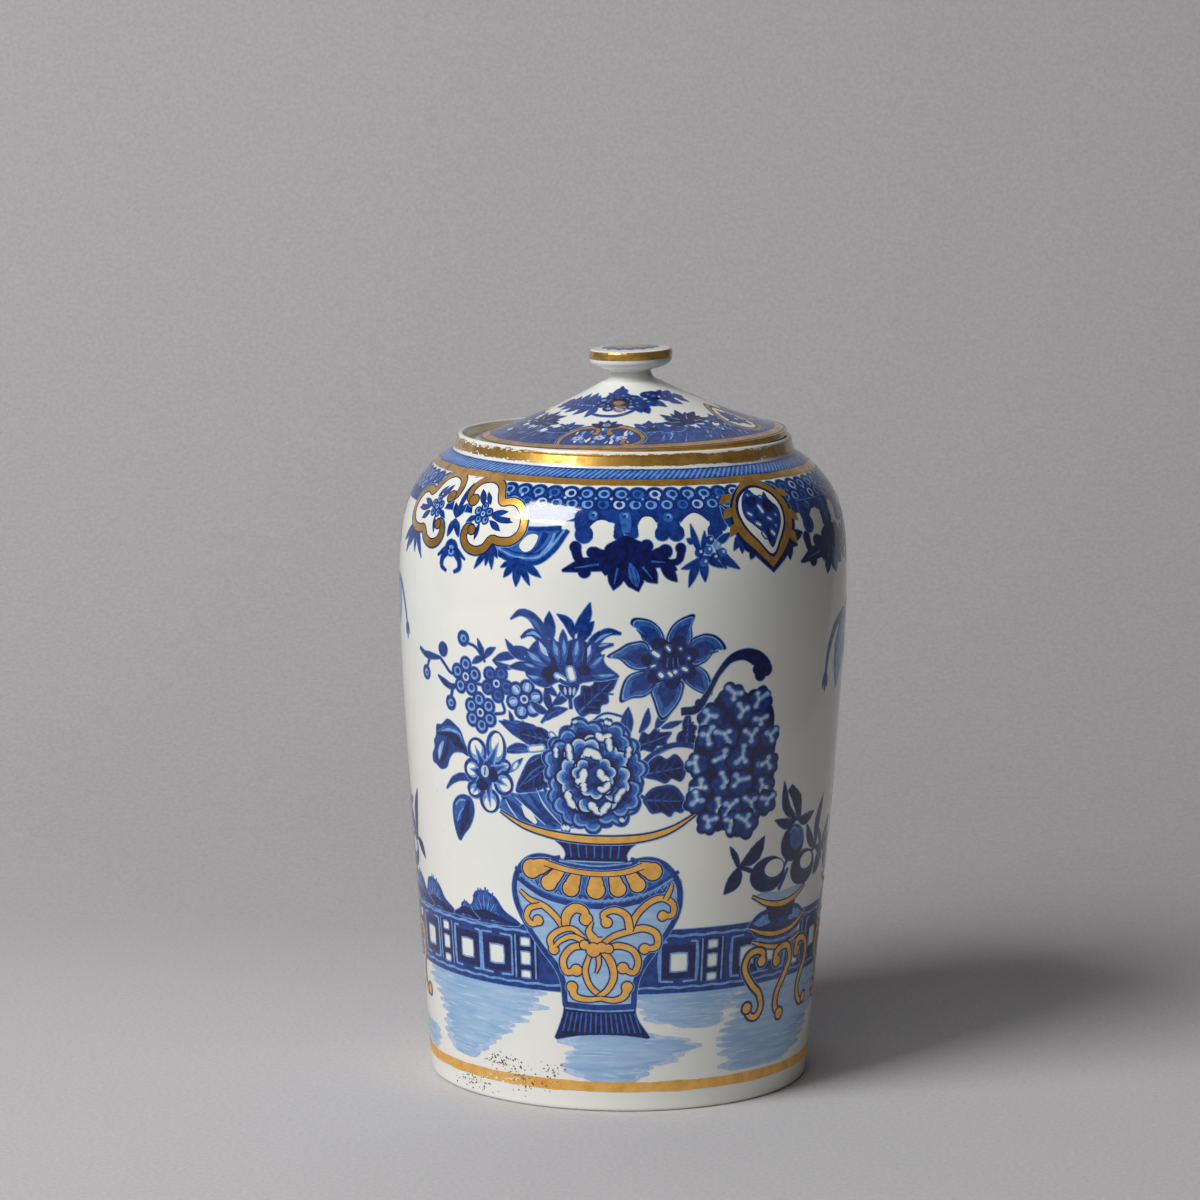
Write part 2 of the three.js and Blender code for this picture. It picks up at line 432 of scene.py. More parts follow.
# %% [markdown]
# ## The glaze
# Hard white porcelain under a clear lead glaze: milky white, a little blue where the glaze pools, and
# as glossy as glass. What gives it away as old is that nothing is quite even. The glaze ripples very
# softly, there are pin-head specks of iron, and the foot ring is bare, rough clay where the jar stood
# in the kiln. The brown kiln grit near the foot is painted on with the pattern, further down.
# %% Noise and masks for the materials
def noise(tree, place, period, detail=2.0, roughness=0.5):
    """Noise whose largest features are about one period apart."""
    return add(tree, "ShaderNodeTexNoise", {
        "Vector": place, "Scale": 1 / period, "Detail": detail, "Roughness": roughness,
    }).outputs[0]


def ramp(tree, value, low, high):
    """0 where the value is below low, 1 above high, and a soft step between."""
    return add(tree, "ShaderNodeMapRange", {
        "Value": value, "From Min": low, "From Max": high,
    }, interpolation_type="SMOOTHSTEP").outputs[0]


def blend(tree, share, first, second):
    """A colour that goes from the first to the second as the share goes from 0 to 1."""
    return add(tree, "ShaderNodeMix", {0: share, 6: first, 7: second}, data_type="RGBA").outputs[2]


def times(tree, a, b):
    """The product of two values."""
    return add(tree, "ShaderNodeMath", {0: a, 1: b}, operation="MULTIPLY").outputs[0]


def new_material(name):
    """A material with a Principled shader, and the places that its patterns read."""
    material = bpy.data.materials.new(name)
    material.use_nodes = True
    tree = material.node_tree
    shader = tree.nodes["Principled BSDF"]
    place = add(tree, "ShaderNodeTexCoord").outputs["Object"]
    return material, tree, shader, place


# %% The clear glaze
GLAZE_IOR = 1.6
GLAZE_ROUGHNESS = 0.075
RIPPLE_PERIOD = 7 * MM
RIPPLE_DEPTH = 0.2 * MM
RIPPLE_STRENGTH = 0.12


def glaze_shine(tree, shader, place):
    """The clear glaze: glass with a faint ripple from the brush and the kiln."""
    shader.inputs["IOR"].default_value = GLAZE_IOR
    if not shader.inputs["Roughness"].is_linked:
        shader.inputs["Roughness"].default_value = GLAZE_ROUGHNESS
    ripple = noise(tree, place, RIPPLE_PERIOD, 1)
    bump = add(tree, "ShaderNodeBump", {
        "Height": ripple, "Strength": RIPPLE_STRENGTH, "Distance": RIPPLE_DEPTH,
    })
    tree.links.new(bump.outputs[0], shader.inputs["Normal"])


# %% Porcelain under the glaze
BODY_WARM = "#eceae2"
BODY_COOL = "#e5e7e1"
CLOUD_PERIOD = 30 * MM
IRON_SPECK = "#8a8578"
SPECK_PERIOD = 1.1 * MM
SPECK_SHARE = 0.55
BARE_CLAY = "#cfc3ac"
BARE_CLAY_ROUGHNESS = 0.75
GLAZE_LINE = (0.35 * MM, 0.05 * MM)


def glazed_porcelain():
    """White porcelain with a clear glaze, bare and rough on the foot ring."""
    material, tree, shader, place = new_material("glazed_porcelain")
    height = add(tree, "ShaderNodeSeparateXYZ", {0: place}).outputs[2]
    cloudy = ramp(tree, noise(tree, place, CLOUD_PERIOD, 3), 0.35, 0.65)
    body = blend(tree, cloudy, linear(BODY_WARM), linear(BODY_COOL))
    specks = ramp(tree, noise(tree, place, SPECK_PERIOD, 1), 0.79, 0.83)
    speckled = blend(tree, times(tree, specks, SPECK_SHARE), body, linear(IRON_SPECK))
    low = ramp(tree, height, *GLAZE_LINE)
    roughness = add(tree, "ShaderNodeMapRange", {
        "Value": low, "To Min": GLAZE_ROUGHNESS, "To Max": BARE_CLAY_ROUGHNESS,
    }).outputs[0]
    tree.links.new(blend(tree, low, speckled, linear(BARE_CLAY)), shader.inputs["Base Color"])
    tree.links.new(roughness, shader.inputs["Roughness"])
    glaze_shine(tree, shader, place)
    return material


PORCELAIN = glazed_porcelain()

# %% [markdown]
# ## The turned pieces
# The jar stands upright. The lid and the knob are turned in the lid's own frame and then laid in place:
# the lid is pushed to the right until its edge rides up on the lip, so it lies a little askew.
# %% Turn the jar, the lid and the knob
JAR_SIDES = 224
LID_SIDES = 200
KNOB_SIDES = 96

cover_place = Matrix.Translation(LID_PLACE) @ Matrix.Rotation(-LID_TILT, 4, "Y")
jar = turned("jar", jar_profile(), JAR_SIDES, PORCELAIN)
lid = turned("lid", lid_profile(), LID_SIDES, PORCELAIN)
knob = turned("knob", knob_profile(), KNOB_SIDES, PORCELAIN)
for piece in (lid, knob):
    piece.data.transform(cover_place)
for piece, body, node in ((jar, "jar", "jar_body"), (lid, "cover", "lid"), (knob, "cover", "lid_knob")):
    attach(piece, body)
    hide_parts(node)

# %% [markdown]
# ## The blue: a flat sheet laid round the pot
# The pattern was engraved flat, printed on thin paper and laid round the pot, and some of it was then
# washed in by brush. It is drawn flat here too. Across the sheet are degrees around the pot, from the
# front, and up the sheet are millimetres along its wall, from the foot. Sizes of strokes and dots are
# always real millimetres, and the sheet turns them into degrees at the height where they lie.
# Shapes are painted one over the other, as paint is, each in one tone.
# %% The sheet
STROKE_STEP = 0.6
SHARP_BEND = math.radians(5)
BARE, WASH, PALE, LIGHT, MID, DEEP, DARK, GOLD, BRIGHT, GRIT = range(10)
INKS = (MID, DEEP, DARK)
BLEED = 0.15


def through(points, closed=False, step=STROKE_STEP):
    """A smooth line through the points, by Catmull and Rom's rule, with a point about every step."""
    if len(points) < 3:
        (x0, y0), (x1, y1) = points
        points = [(x0, y0), ((x0 + x1) / 2, (y0 + y1) / 2), (x1, y1)]
    count = len(points)
    line = []
    for index in range(count if closed else count - 1):
        if closed:
            a, b, c, d = (points[(index + shift) % count] for shift in (-1, 0, 1, 2))
        else:
            b, c = points[index], points[index + 1]
            a = points[index - 1] if index else (2 * b[0] - c[0], 2 * b[1] - c[1])
            d = points[index + 2] if index + 2 < count else (2 * c[0] - b[0], 2 * c[1] - b[1])
        parts = max(1, math.ceil(math.hypot(c[0] - b[0], c[1] - b[1]) / step))
        for part in range(parts):
            t = part / parts
            weights = (-t + 2 * t * t - t ** 3, 2 - 5 * t * t + 3 * t ** 3,
                       t + 4 * t * t - 3 * t ** 3, t ** 3 - t * t)
            line.append(tuple(sum(w * p[axis] for w, p in zip(weights, (a, b, c, d))) / 2
                              for axis in (0, 1)))
    if not closed:
        line.append(tuple(points[-1]))
    return line


def scaled(outline, place, wide, high=None):
    """The outline made so many times as wide and as high about a place."""
    x0, y0 = place
    high = wide if high is None else high
    return [(x0 + (x - x0) * wide, y0 + (y - y0) * high) for x, y in outline]


class Sheet:
    """A flat sheet of painted shapes that is laid round one turned piece."""

    def __init__(self, line, left, right):
        """A sheet for this profile line, between two directions in degrees."""
        steps = numpy.diff(numpy.array(line), axis=0)
        self.line = line
        self.lengths = numpy.concatenate([[0], numpy.cumsum(numpy.hypot(steps[:, 0], steps[:, 1]))])
        self.radii = numpy.array([point[0] for point in line])
        self.unrolled = float(self.radii.max())
        self.left, self.right = left, right
        self.origin = 0
        self.layers = [[]]

    def bends(self):
        """The heights in millimetres where the piece curves so tightly that the print needs a crease."""
        steps = [Vector(b) - Vector(a) for a, b in zip(self.line, self.line[1:])]
        return [float(length) / MM for length, a, b in zip(self.lengths[1:], steps, steps[1:])
                if a.length and b.length and a.angle(b) > SHARP_BEND]

    def spread(self, up):
        """The millimetres around the pot in one degree, at this height."""
        return math.radians(float(numpy.interp(up * MM, self.lengths, self.radii))) / MM

    def off(self, place, across, up):
        """The place that lies so many millimetres across and up from this one."""
        return place[0] + across / self.spread(place[1] + up), place[1] + up

    def fill(self, tone, outline):
        """Paints the inside of a closed outline, measured across from the sheet's origin."""
        self.layers[-1].append((tone, [(self.origin + x, y) for x, y in outline]))

    def layer(self):
        """Begins a new layer. The ink that bleeds from a layer's shapes lies under all of them."""
        self.layers.append([])

    def bled(self, outline):
        """The outline moved out by the width of the bleed."""
        points = numpy.array(outline, float)
        scale = self.spread(float(points[:, 1].mean()))
        points[:, 0] *= scale
        after = numpy.roll(points, -1, axis=0)
        along = (points - numpy.roll(points, 1, axis=0)) + (after - points)
        lengths = numpy.hypot(*along.T)
        lengths[lengths == 0] = 1
        area = (points[:, 0] * after[:, 1] - points[:, 1] * after[:, 0]).sum()
        side = math.copysign(BLEED, area) / lengths
        moved = points + numpy.column_stack([along[:, 1] * side, -along[:, 0] * side])
        moved[:, 0] /= scale
        return moved.tolist()

    def painted(self):
        """All shapes in the order in which they cover one another, each layer on its own bleed."""
        shapes = []
        for layer in self.layers:
            shapes.extend((LIGHT, self.bled(outline)) for tone, outline in layer if tone in INKS)
            shapes.extend(layer)
        return shapes

    def blob(self, tone, points):
        """Paints a soft shape through the points."""
        self.fill(tone, self.eased(points, True))

    def eased(self, points, closed=False):
        """A smooth line through the points, even in millimetres."""
        middle = self.spread(sum(point[1] for point in points) / len(points))
        line = through([(x * middle, y) for x, y in points], closed)
        return [(x / middle, y) for x, y in line]

    def stroke(self, tone, points, widths, eased=True):
        """Paints a brush stroke through the points, as wide as the widths say from its start to its end."""
        line = self.eased(points) if eased else points
        last = len(line) - 1
        knots = numpy.linspace(0, last, len(widths)) if len(widths) > 1 else [0]
        one_side, other_side = [], []
        for index, (x, y) in enumerate(line):
            before, after = line[max(index - 1, 0)], line[min(index + 1, last)]
            scale = self.spread(y)
            along = Vector(((after[0] - before[0]) * scale, after[1] - before[1]))
            if along.length == 0:
                continue
            along.normalize()
            half = float(numpy.interp(index, knots, widths)) / 2
            aside = (-along.y * half / scale, along.x * half)
            one_side.append((x + aside[0], y + aside[1]))
            other_side.append((x - aside[0], y - aside[1]))
        self.fill(tone, one_side + other_side[::-1])

    def dot(self, tone, place, size, flat=1.0, sides=None):
        """Paints a round dot of this diameter, or an oval that is flat times as high."""
        sides = sides or max(8, math.ceil(4 * size) + 6)
        turns = [math.tau * side / sides for side in range(sides)]
        self.fill(tone, [self.off(place, math.cos(a) * size / 2, math.sin(a) * size * flat / 2)
                         for a in turns])

    def leaf(self, tone, root, tip, width, bow=0.0, vein=None, fullest=0.45):
        """Paints a pointed leaf from its root to its tip, bowed to the left by part of its length."""
        scale = self.spread((root[1] + tip[1]) / 2)
        along = Vector(((tip[0] - root[0]) * scale, tip[1] - root[1]))
        aside = Vector((-along.y, along.x)) * bow
        middle = self.off(root, along.x * fullest + aside.x, along.y * fullest + aside.y)
        self.stroke(tone, [root, middle, tip], (0.15, width * 0.75, width, width * 0.7, 0.05))
        if vein is not None:
            near_tip = self.off(root, along.x * 0.85 + aside.x * 0.4, along.y * 0.85 + aside.y * 0.4)
            self.stroke(vein, [root, middle, near_tip], (0.3, 0.25, 0.1))

    def shaded(self, points, tones, towards=None):
        """Paints a soft shape, and inside it a smaller copy for each tone, drawn towards a place."""
        middle = (sum(x for x, _ in points) / len(points), sum(y for _, y in points) / len(points))
        outline = self.eased(points, True)
        for tone, share in tones:
            self.fill(tone, scaled(outline, towards or middle, share))

    def band(self, tone, low, high):
        """Paints a band all round."""
        steps = int(self.right - self.left)
        across = [self.left + step for step in range(steps + 1)]
        self.fill(tone, [(x, low) for x in across] + [(x, high) for x in reversed(across)])


# %% [markdown]
# Painted shapes overlap, but a surface needs one colour at each point. So the sheet is cut along every
# outline with a Delaunay triangulation, and each small triangle takes the tone of the last shape that
# was painted over it. A winding number tells whether a triangle lies in a shape, also where a curled
# stroke crosses itself. The sheet is cut off at its two sides, where the next repeat begins. A long
# straight edge would sink into the round pot once it is laid on it, so such edges get more points first.
# %% From painted shapes to one flat mesh for each tone
GRAIN = 1.3
GRAIN_ROW = 0.866
LONGEST_EDGE = 2.2
CUT_TOLERANCE = 1e-4


def inside(points, outline):
    """Which of the points lie inside the outline, by their winding number."""
    winding = numpy.zeros(len(points), int)
    ends = numpy.roll(outline, -1, axis=0)
    for (x0, y0), (x1, y1) in zip(outline, ends):
        side = (x1 - x0) * (points[:, 1] - y0) - (points[:, 0] - x0) * (y1 - y0)
        winding += (y0 <= points[:, 1]) & (y1 > points[:, 1]) & (side > 0)
        winding -= (y0 > points[:, 1]) & (y1 <= points[:, 1]) & (side < 0)
    return winding != 0


def split_long(outline):
    """The same closed outline, with points added where an edge is long."""
    points = []
    for here, after in zip(outline, numpy.roll(outline, -1, axis=0)):
        pieces = max(1, math.ceil(abs(after[0] - here[0]) / LONGEST_EDGE))
        points.extend(here + (after - here) * step / pieces for step in range(pieces))
    return numpy.array(points)


def cut_apart(sheet):
    """The points of the cut sheet in millimetres, its triangles, and the tone of each triangle."""
    around = math.radians(sheet.unrolled / MM)
    left, right = sheet.left * around, sheet.right * around
    top = float(sheet.lengths[-1]) / MM
    period = right - left
    outlines = []
    for tone, outline in sheet.painted():
        flat = split_long(numpy.array(outline, float) * (around, 1))
        for shift in (-period, 0, period):
            moved = flat + (shift, 0)
            if moved[:, 0].max() > left and moved[:, 0].min() < right:
                outlines.append((tone, moved))
    frame_steps = numpy.linspace(0, top, math.ceil(top / GRAIN) + 1)
    sides = [numpy.column_stack([numpy.full(len(frame_steps), x), frame_steps]) for x in (left, right)]
    grid = []
    for index, row in enumerate(numpy.arange(0, top, GRAIN * GRAIN_ROW)):
        inset = GRAIN * (0.5 + 0.5 * (index % 2))
        grid.extend((x, row) for x in numpy.arange(left + inset, right - GRAIN * 0.4, GRAIN))
    across = numpy.linspace(left, right, math.ceil(period / GRAIN) + 1)
    creases = [numpy.column_stack([across, numpy.full(len(across), up)]) for up in sheet.bends()]
    points, edges = [], []
    open_lines = [(line, False) for line in sides + creases]
    for line, closed in open_lines + [(outline, True) for _, outline in outlines]:
        start = len(points)
        points.extend(line)
        edges.extend((start + i, start + i + 1) for i in range(len(line) - 1))
        if closed:
            edges.append((start + len(line) - 1, start))
    points.extend(grid)
    cut = delaunay_2d_cdt([Vector(point) for point in points], edges, [], 0, CUT_TOLERANCE, False)
    corners = numpy.array([tuple(point) for point in cut[0]])
    triangles = numpy.array(cut[2])
    return corners, triangles, triangle_tones(corners[triangles].mean(axis=1), outlines, left, right)


def triangle_tones(centres, outlines, left, right):
    """The tone of each triangle: that of the last outline round its centre, bare past the sides."""
    order = numpy.argsort(centres[:, 1])
    heights = centres[order, 1]
    tones = numpy.full(len(centres), BARE)
    for tone, outline in outlines:
        low, high = numpy.searchsorted(heights, (outline[:, 1].min(), outline[:, 1].max()))
        near = order[low:high]
        across = centres[near, 0]
        near = near[(across >= outline[:, 0].min()) & (across <= outline[:, 0].max())]
        near = near[inside(centres[near], outline)]
        tones[near] = tone
    tones[(centres[:, 0] < left) | (centres[:, 0] > right)] = BARE
    return tones


def tone_mesh(name, corners, triangles):
    """A flat mesh of these triangles only, in metres."""
    used, numbers = numpy.unique(triangles, return_inverse=True)
    flat = numpy.zeros((len(used), 3))
    flat[:, :2] = corners[used] * MM
    faces = numbers.reshape(triangles.shape)
    a, b, c = (flat[faces[:, corner], :2] for corner in range(3))
    turn = (b[:, 0] - a[:, 0]) * (c[:, 1] - a[:, 1]) - (b[:, 1] - a[:, 1]) * (c[:, 0] - a[:, 0])
    faces[turn < 0] = faces[turn < 0][:, ::-1]
    mesh = bpy.data.meshes.new(name)
    mesh.from_pydata(flat.tolist(), [], faces.tolist())
    return mesh


# %% [markdown]
# Laying the paper on the pot is one rule for every point, so Geometry Nodes do it. The height on the
# sheet is a length along the profile line, which Sample Curve turns into a place, and the direction
# across that line lifts the print a hair above the clay. The distance across the sheet becomes an
# angle. The shading normals come from the line as well, so the glaze over the print reflects as
# smoothly as the pot itself.
# %% The tree that lays the sheet round
def laying_tree():
    """Wraps a flat mesh round the Z axis along a profile line, as many times as the pattern repeats."""
    tree, start, end = new_tree("laid_round_the_pot", [
        ("Profile Line", "NodeSocketObject"),
        ("Unrolled Radius", "NodeSocketFloat"),
        ("Lift", "NodeSocketFloat"),
        ("Repeats", "NodeSocketInt"),
        ("Lean", "NodeSocketFloat"),
        ("Place", "NodeSocketVector"),
        ("Material", "NodeSocketMaterial"),
    ])
    given = start.outputs
    around = times(tree, given["Unrolled Radius"], math.tau)
    pitch = add(tree, "ShaderNodeMath", {0: around, 1: given["Repeats"]}, operation="DIVIDE")
    step = add(tree, "ShaderNodeCombineXYZ", {0: pitch.outputs[0]})
    starts = add(tree, "GeometryNodeMeshLine", {"Count": given["Repeats"], "Offset": step.outputs[0]})
    copies = add(tree, "GeometryNodeInstanceOnPoints", {
        "Points": starts.outputs[0], "Instance": given["Geometry"],
    })
    real = add(tree, "GeometryNodeRealizeInstances", {0: copies.outputs[0]})
    flat = add(tree, "ShaderNodeSeparateXYZ", {0: add(tree, "GeometryNodeInputPosition").outputs[0]})
    line = add(tree, "GeometryNodeObjectInfo", {"Object": given["Profile Line"]}).outputs["Geometry"]
    on_line = add(tree, "GeometryNodeSampleCurve", {"Curves": line, "Length": flat.outputs[1]},
                  mode="LENGTH", use_all_curves=True)
    along = add(tree, "ShaderNodeSeparateXYZ", {0: on_line.outputs["Tangent"]})
    back = add(tree, "ShaderNodeMath", {0: along.outputs[0], 1: -1.0}, operation="MULTIPLY")
    outward = add(tree, "ShaderNodeCombineXYZ", {0: along.outputs[2], 2: back.outputs[0]})
    lifted = add(tree, "ShaderNodeVectorMath", {
        0: outward.outputs[0], "Scale": given["Lift"],
    }, operation="SCALE")
    raised = add(tree, "ShaderNodeVectorMath", {0: lifted.outputs[0], 1: on_line.outputs["Position"]})
    turn = add(tree, "ShaderNodeMath", {0: flat.outputs[0], 1: given["Unrolled Radius"]},
               operation="DIVIDE")
    angle = add(tree, "ShaderNodeMath", {0: turn.outputs[0], 1: -math.pi / 2})
    swung = []
    for vector in (raised, outward):
        turned_round = add(tree, "ShaderNodeVectorRotate", {
            "Vector": vector.outputs[0], "Angle": angle.outputs[0],
        }, rotation_type="Z_AXIS")
        leaned = add(tree, "ShaderNodeVectorRotate", {
            "Vector": turned_round.outputs[0], "Angle": given["Lean"],
        }, rotation_type="Y_AXIS")
        swung.append(leaned.outputs[0])
    placed = add(tree, "ShaderNodeVectorMath", {0: swung[0], 1: given["Place"]})
    bent = add(tree, "GeometryNodeSetMeshNormal", {"Mesh": real.outputs[0]}, mode="FREE")
    tree.links.new(swung[1], bent.inputs["Custom Normal"])
    shaped = add(tree, "GeometryNodeSetPosition", {
        "Geometry": bent.outputs[0], "Position": placed.outputs[0],
    })
    whole = add(tree, "GeometryNodeRealizeInstances", {0: shaped.outputs[0]})
    coated = add(tree, "GeometryNodeSetMaterial", {
        "Geometry": whole.outputs[0], "Material": given["Material"],
    })
    tree.links.new(coated.outputs[0], end.inputs[0])
    return tree


LAYING = laying_tree()


def line_object(name, line):
    """The profile line as a curve, which the tree reads."""
    curve = bpy.data.curves.new(name, "CURVE")
    curve.dimensions = "3D"
    spline = curve.splines.new("POLY")
    spline.points.add(len(line) - 1)
    for point, (radius, height) in zip(spline.points, line):
        point.co = (radius, 0, height, 1)
    made = bpy.data.objects.new(name, curve)
    scene.collection.objects.link(made)
    return made


def lay_round(sheet, prefix, body, repeats, materials, lean=0.0, place=(0, 0, 0)):
    """Cuts a sheet apart and lays each tone round the pot as a piece of its own."""
    corners, triangles, tones = cut_apart(sheet)
    guide = line_object(prefix + "line", sheet.line)
    for tone, (name, material, slot, lift) in materials.items():
        chosen = triangles[tones == tone]
        if not len(chosen):
            continue
        piece = grown(prefix + name, tone_mesh(prefix + name, corners, chosen), LAYING, {
            "Profile Line": guide, "Unrolled Radius": sheet.unrolled, "Lift": lift * MM,
            "Repeats": repeats, "Lean": lean, "Place": place, "Material": material,
        })
        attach(piece, body)
    bpy.data.objects.remove(guide)


# %% [markdown]
# ## The wall's pattern
# Round the wall runs a garden scene: a vase of flowers, a fence, bushes and stands of fruit on blue
# ground washes, under a scalloped border with rings, clouds and palmettes. The same scene comes twice
# round the jar, so one sheet covers half a turn and is laid on twice.
# %% The wall's sheet and small tools for it
HALF_TURN_LEFT = -95
HALF_TURN_RIGHT = 85


def wall_line():
    """The outside of the jar from the foot ring to the crest of the lip."""
    wall_curve, shoulder = jar_outside()
    return rounded([Vector((FOOT_RADIUS - FOOT_BEVEL, 0))] + wall_curve + shoulder[1:] + outer_lip())


wall = Sheet(wall_line(), HALF_TURN_LEFT, HALF_TURN_RIGHT)
stroke = wall.stroke
leaf = wall.leaf
dot = wall.dot
fill = wall.fill
blob = wall.blob
off = wall.off
eased = wall.eased
print("the wall's sheet is %.0f mm high" % (wall.lengths[-1] / MM))


def lumpy(centre, wide, high, lobes, depth=0.12, turn=0.0, squarish=0.0):
    """A scalloped outline round a centre, in degrees and millimetres."""
    points = []
    for step in range(lobes * 7):
        angle = math.tau * step / (lobes * 7)
        bump = 1 - depth + 2 * depth * abs(math.sin(angle * lobes / 2 + turn))
        grow = bump * (1 + squarish * math.sin(2 * angle) ** 2)
        across, up = math.cos(angle) * wide / 2 * grow, math.sin(angle) * high / 2 * grow
        points.append(off(centre, across, up))
    return points


def gilt(points, widths, ball=None, edge=0.55):
    """A gold brush stroke on a slightly wider dark one, ending in a ball where one is given."""
    widths = [width * 0.87 for width in widths]
    stroke(DARK, points, [width + edge for width in widths])
    if ball:
        dot(DARK, points[-1], ball + edge)
    stroke(GOLD, points, widths)
    if ball:
        dot(GOLD, points[-1], ball)


def sprig(tone, root, tips, width):
    """Pointed leaves from one root, each to an x and a y, with a share of the width and a bow."""
    for x, y, share, *bow in tips:
        leaf(tone, root, (x, y), width * share, *bow)


def leaves(tone, rows, fullest=0.45, more=1):
    """Leaves of one tone, each given as its root, its tip, its width and, where it is bowed, its bow."""
    for root, tip, width, *bow in rows:
        leaf(tone, root, tip, width * more, *bow, fullest=fullest)


def dots(sheet, rows, *tones):
    """Round dots, each given as its place and size, once for each (tone, how much wider)."""
    for tone, more in tones:
        for place, size in rows:
            sheet.dot(tone, place, size + more)


# %% [markdown]
# ### The washes on the ground
# The ground under the fence is washed in with a broad wet brush. Each field is a list of level strokes,
# given as height, left end and right end. They run a little past one another, and a paler, wider veil
# lies under them where the wet colour spread.
# %% Ground washes
WASHES = (
    ((22.6, -69, -24), (21.2, -69, -24), (19.8, -67, -24), (18.4, -65, -27), (17, -63, -30),
     (15.6, -62, -32), (14.2, -60, -34), (12.8, -60, -38), (11.4, -59, -42), (10, -59, -45),
     (8.8, -57, -47)),
    ((14.6, -12, 12), (13.6, -14, 20), (12.5, -12, 23), (11.3, -13, 16), (10.1, -14, 14), (8.9, -16, 8),
     (7.8, -13, 8), (6.9, -9, 5)),
    ((22.6, 5, 36), (21.2, 6, 34), (19.8, 8, 31), (18.4, 10, 30), (17.2, 18, 30)),
    ((22.6, 36, 83), (21, 34, 83), (19.4, 36, 80), (17.8, 35, 79), (16.2, 33, 77), (14.8, 31, 74),
     (13.4, 31, 72), (12, 33, 70), (10.6, 32, 68), (9.2, 35, 66), (7.9, 33, 60)),
    ((10.2, -84, -70), (8.8, -84, -69), (7.6, -82, -71)),
)


def wash(rows, random):
    """A washed field: a pale veil, the level strokes over it, and a few paler brush lines."""
    for tone, more, extra in ((PALE, 2.4, 0.5), (WASH, 0, 0)):
        widths = [0.5] + [width + extra for width in (1.7, 1.9, 1.9, 1.9, 1.7)] + [0.5]
        for up, left, right in rows:
            start = left - more + random.uniform(-1.6, 1.6)
            end = right + more + random.uniform(-1.6, 1.6)
            steps = []
            for share in (0, 0.3, 0.7, 1):
                steps.append((start + (end - start) * share, up + random.uniform(-0.25, 0.25)))
            stroke(tone, steps, widths)
    for up, left, right in rows:
        for _ in range(2):
            start = random.uniform(left + 1, right - 4)
            end = min(start + random.uniform(3, 12), right - 1)
            height = up + random.uniform(-0.5, 0.5)
            middle = ((start + end) / 2, height + 0.1)
            stroke(PALE, [(start, height), middle, (end, height)], (0.05, 0.35, 0.05))


def ground():
    """All the washed fields."""
    random = numpy.random.default_rng(5)
    for rows in WASHES:
        wash(rows, random)


# %% [markdown]
# ### The fence
# The fence is a fret: two rails, dark square frames with a white eye, and ladders with three windows.
# It is printed, so each square is like the last one, and a loop draws them.
# %% Fence
FENCE_LOW = 23.2
FENCE_HIGH = 35.5
SQUARES = (-87.5, -67.5, -47.8, -36.5, -7, 16.5, 38, 48, 71)
LADDERS = (-77.5, -57.7, -27, 26.5, 59.5, 81)


def box_shape(centre, wide, low, high, slack=0):
    """An upright rectangle whose corners are a little uneven."""
    half = wide / 2
    return [
        (centre - half, low), (centre - half * 0.4, low - slack), (centre + half, low),
        (centre + half + slack, (low + high) / 2), (centre + half, high), (centre, high + slack),
        (centre - half, high),
    ]


def fence():
    """Both rails and all that stands between them."""
    wall.layer()
    wall.band(DEEP, FENCE_LOW, FENCE_HIGH)
    for height, width in ((34.3, 0.5), (24.3, 0.45)):
        stroke(LIGHT, [(x, height + 0.12 * math.sin(x)) for x in range(-95, 86, 2)], (width,))
    for index, centre in enumerate(SQUARES):
        for side in (-1, 1):
            post = centre + side * 5.2
            stroke(LIGHT, [(centre + side * (1.4 + index % 3), 33.2), (post, 33.1)], (0.4,))
            stroke(LIGHT, [(centre + side * (2.4 - index % 2), 25.4), (post, 25.5)], (0.4,))
            upright = [(post, 25.4), (centre + side * 5.5, 29), (centre + side * 5.3, 33.1)]
            stroke(LIGHT, upright, (0.5, 0.8, 0.5))
        fill(DARK, box_shape(centre, 9.2, 26.1, 32.4, 0.15))
        fill(LIGHT, box_shape(centre, 5.2, 27.3, 31, 0.2))
        fill(BARE, box_shape(centre, 4.4, 27.6, 30.7, 0.15))
    for centre in LADDERS:
        fill(DARK, box_shape(centre, 8, 25.2, 33.4))
        for side in (-1, 1):
            stroke(LIGHT, [(centre + side * 3.1, 25.2), (centre + side * 3.1, 33.5)], (0.35,))
        for low, high in ((25.2, 26.7), (27.8, 30.4), (31.4, 33.1)):
            fill(LIGHT, box_shape(centre, 3.2, low, high, 0.15))
            fill(BARE, box_shape(centre, 2.5, low + 0.25, high - 0.25, 0.1))


# %% Bushes behind the fence
MOUND = (
    (-0.5, 0), (-0.38, 0.32), (-0.22, 0.45), (-0.16, 0.82), (0, 0.92), (0.17, 0.78), (0.3, 0.42),
    (0.5, 0),
)


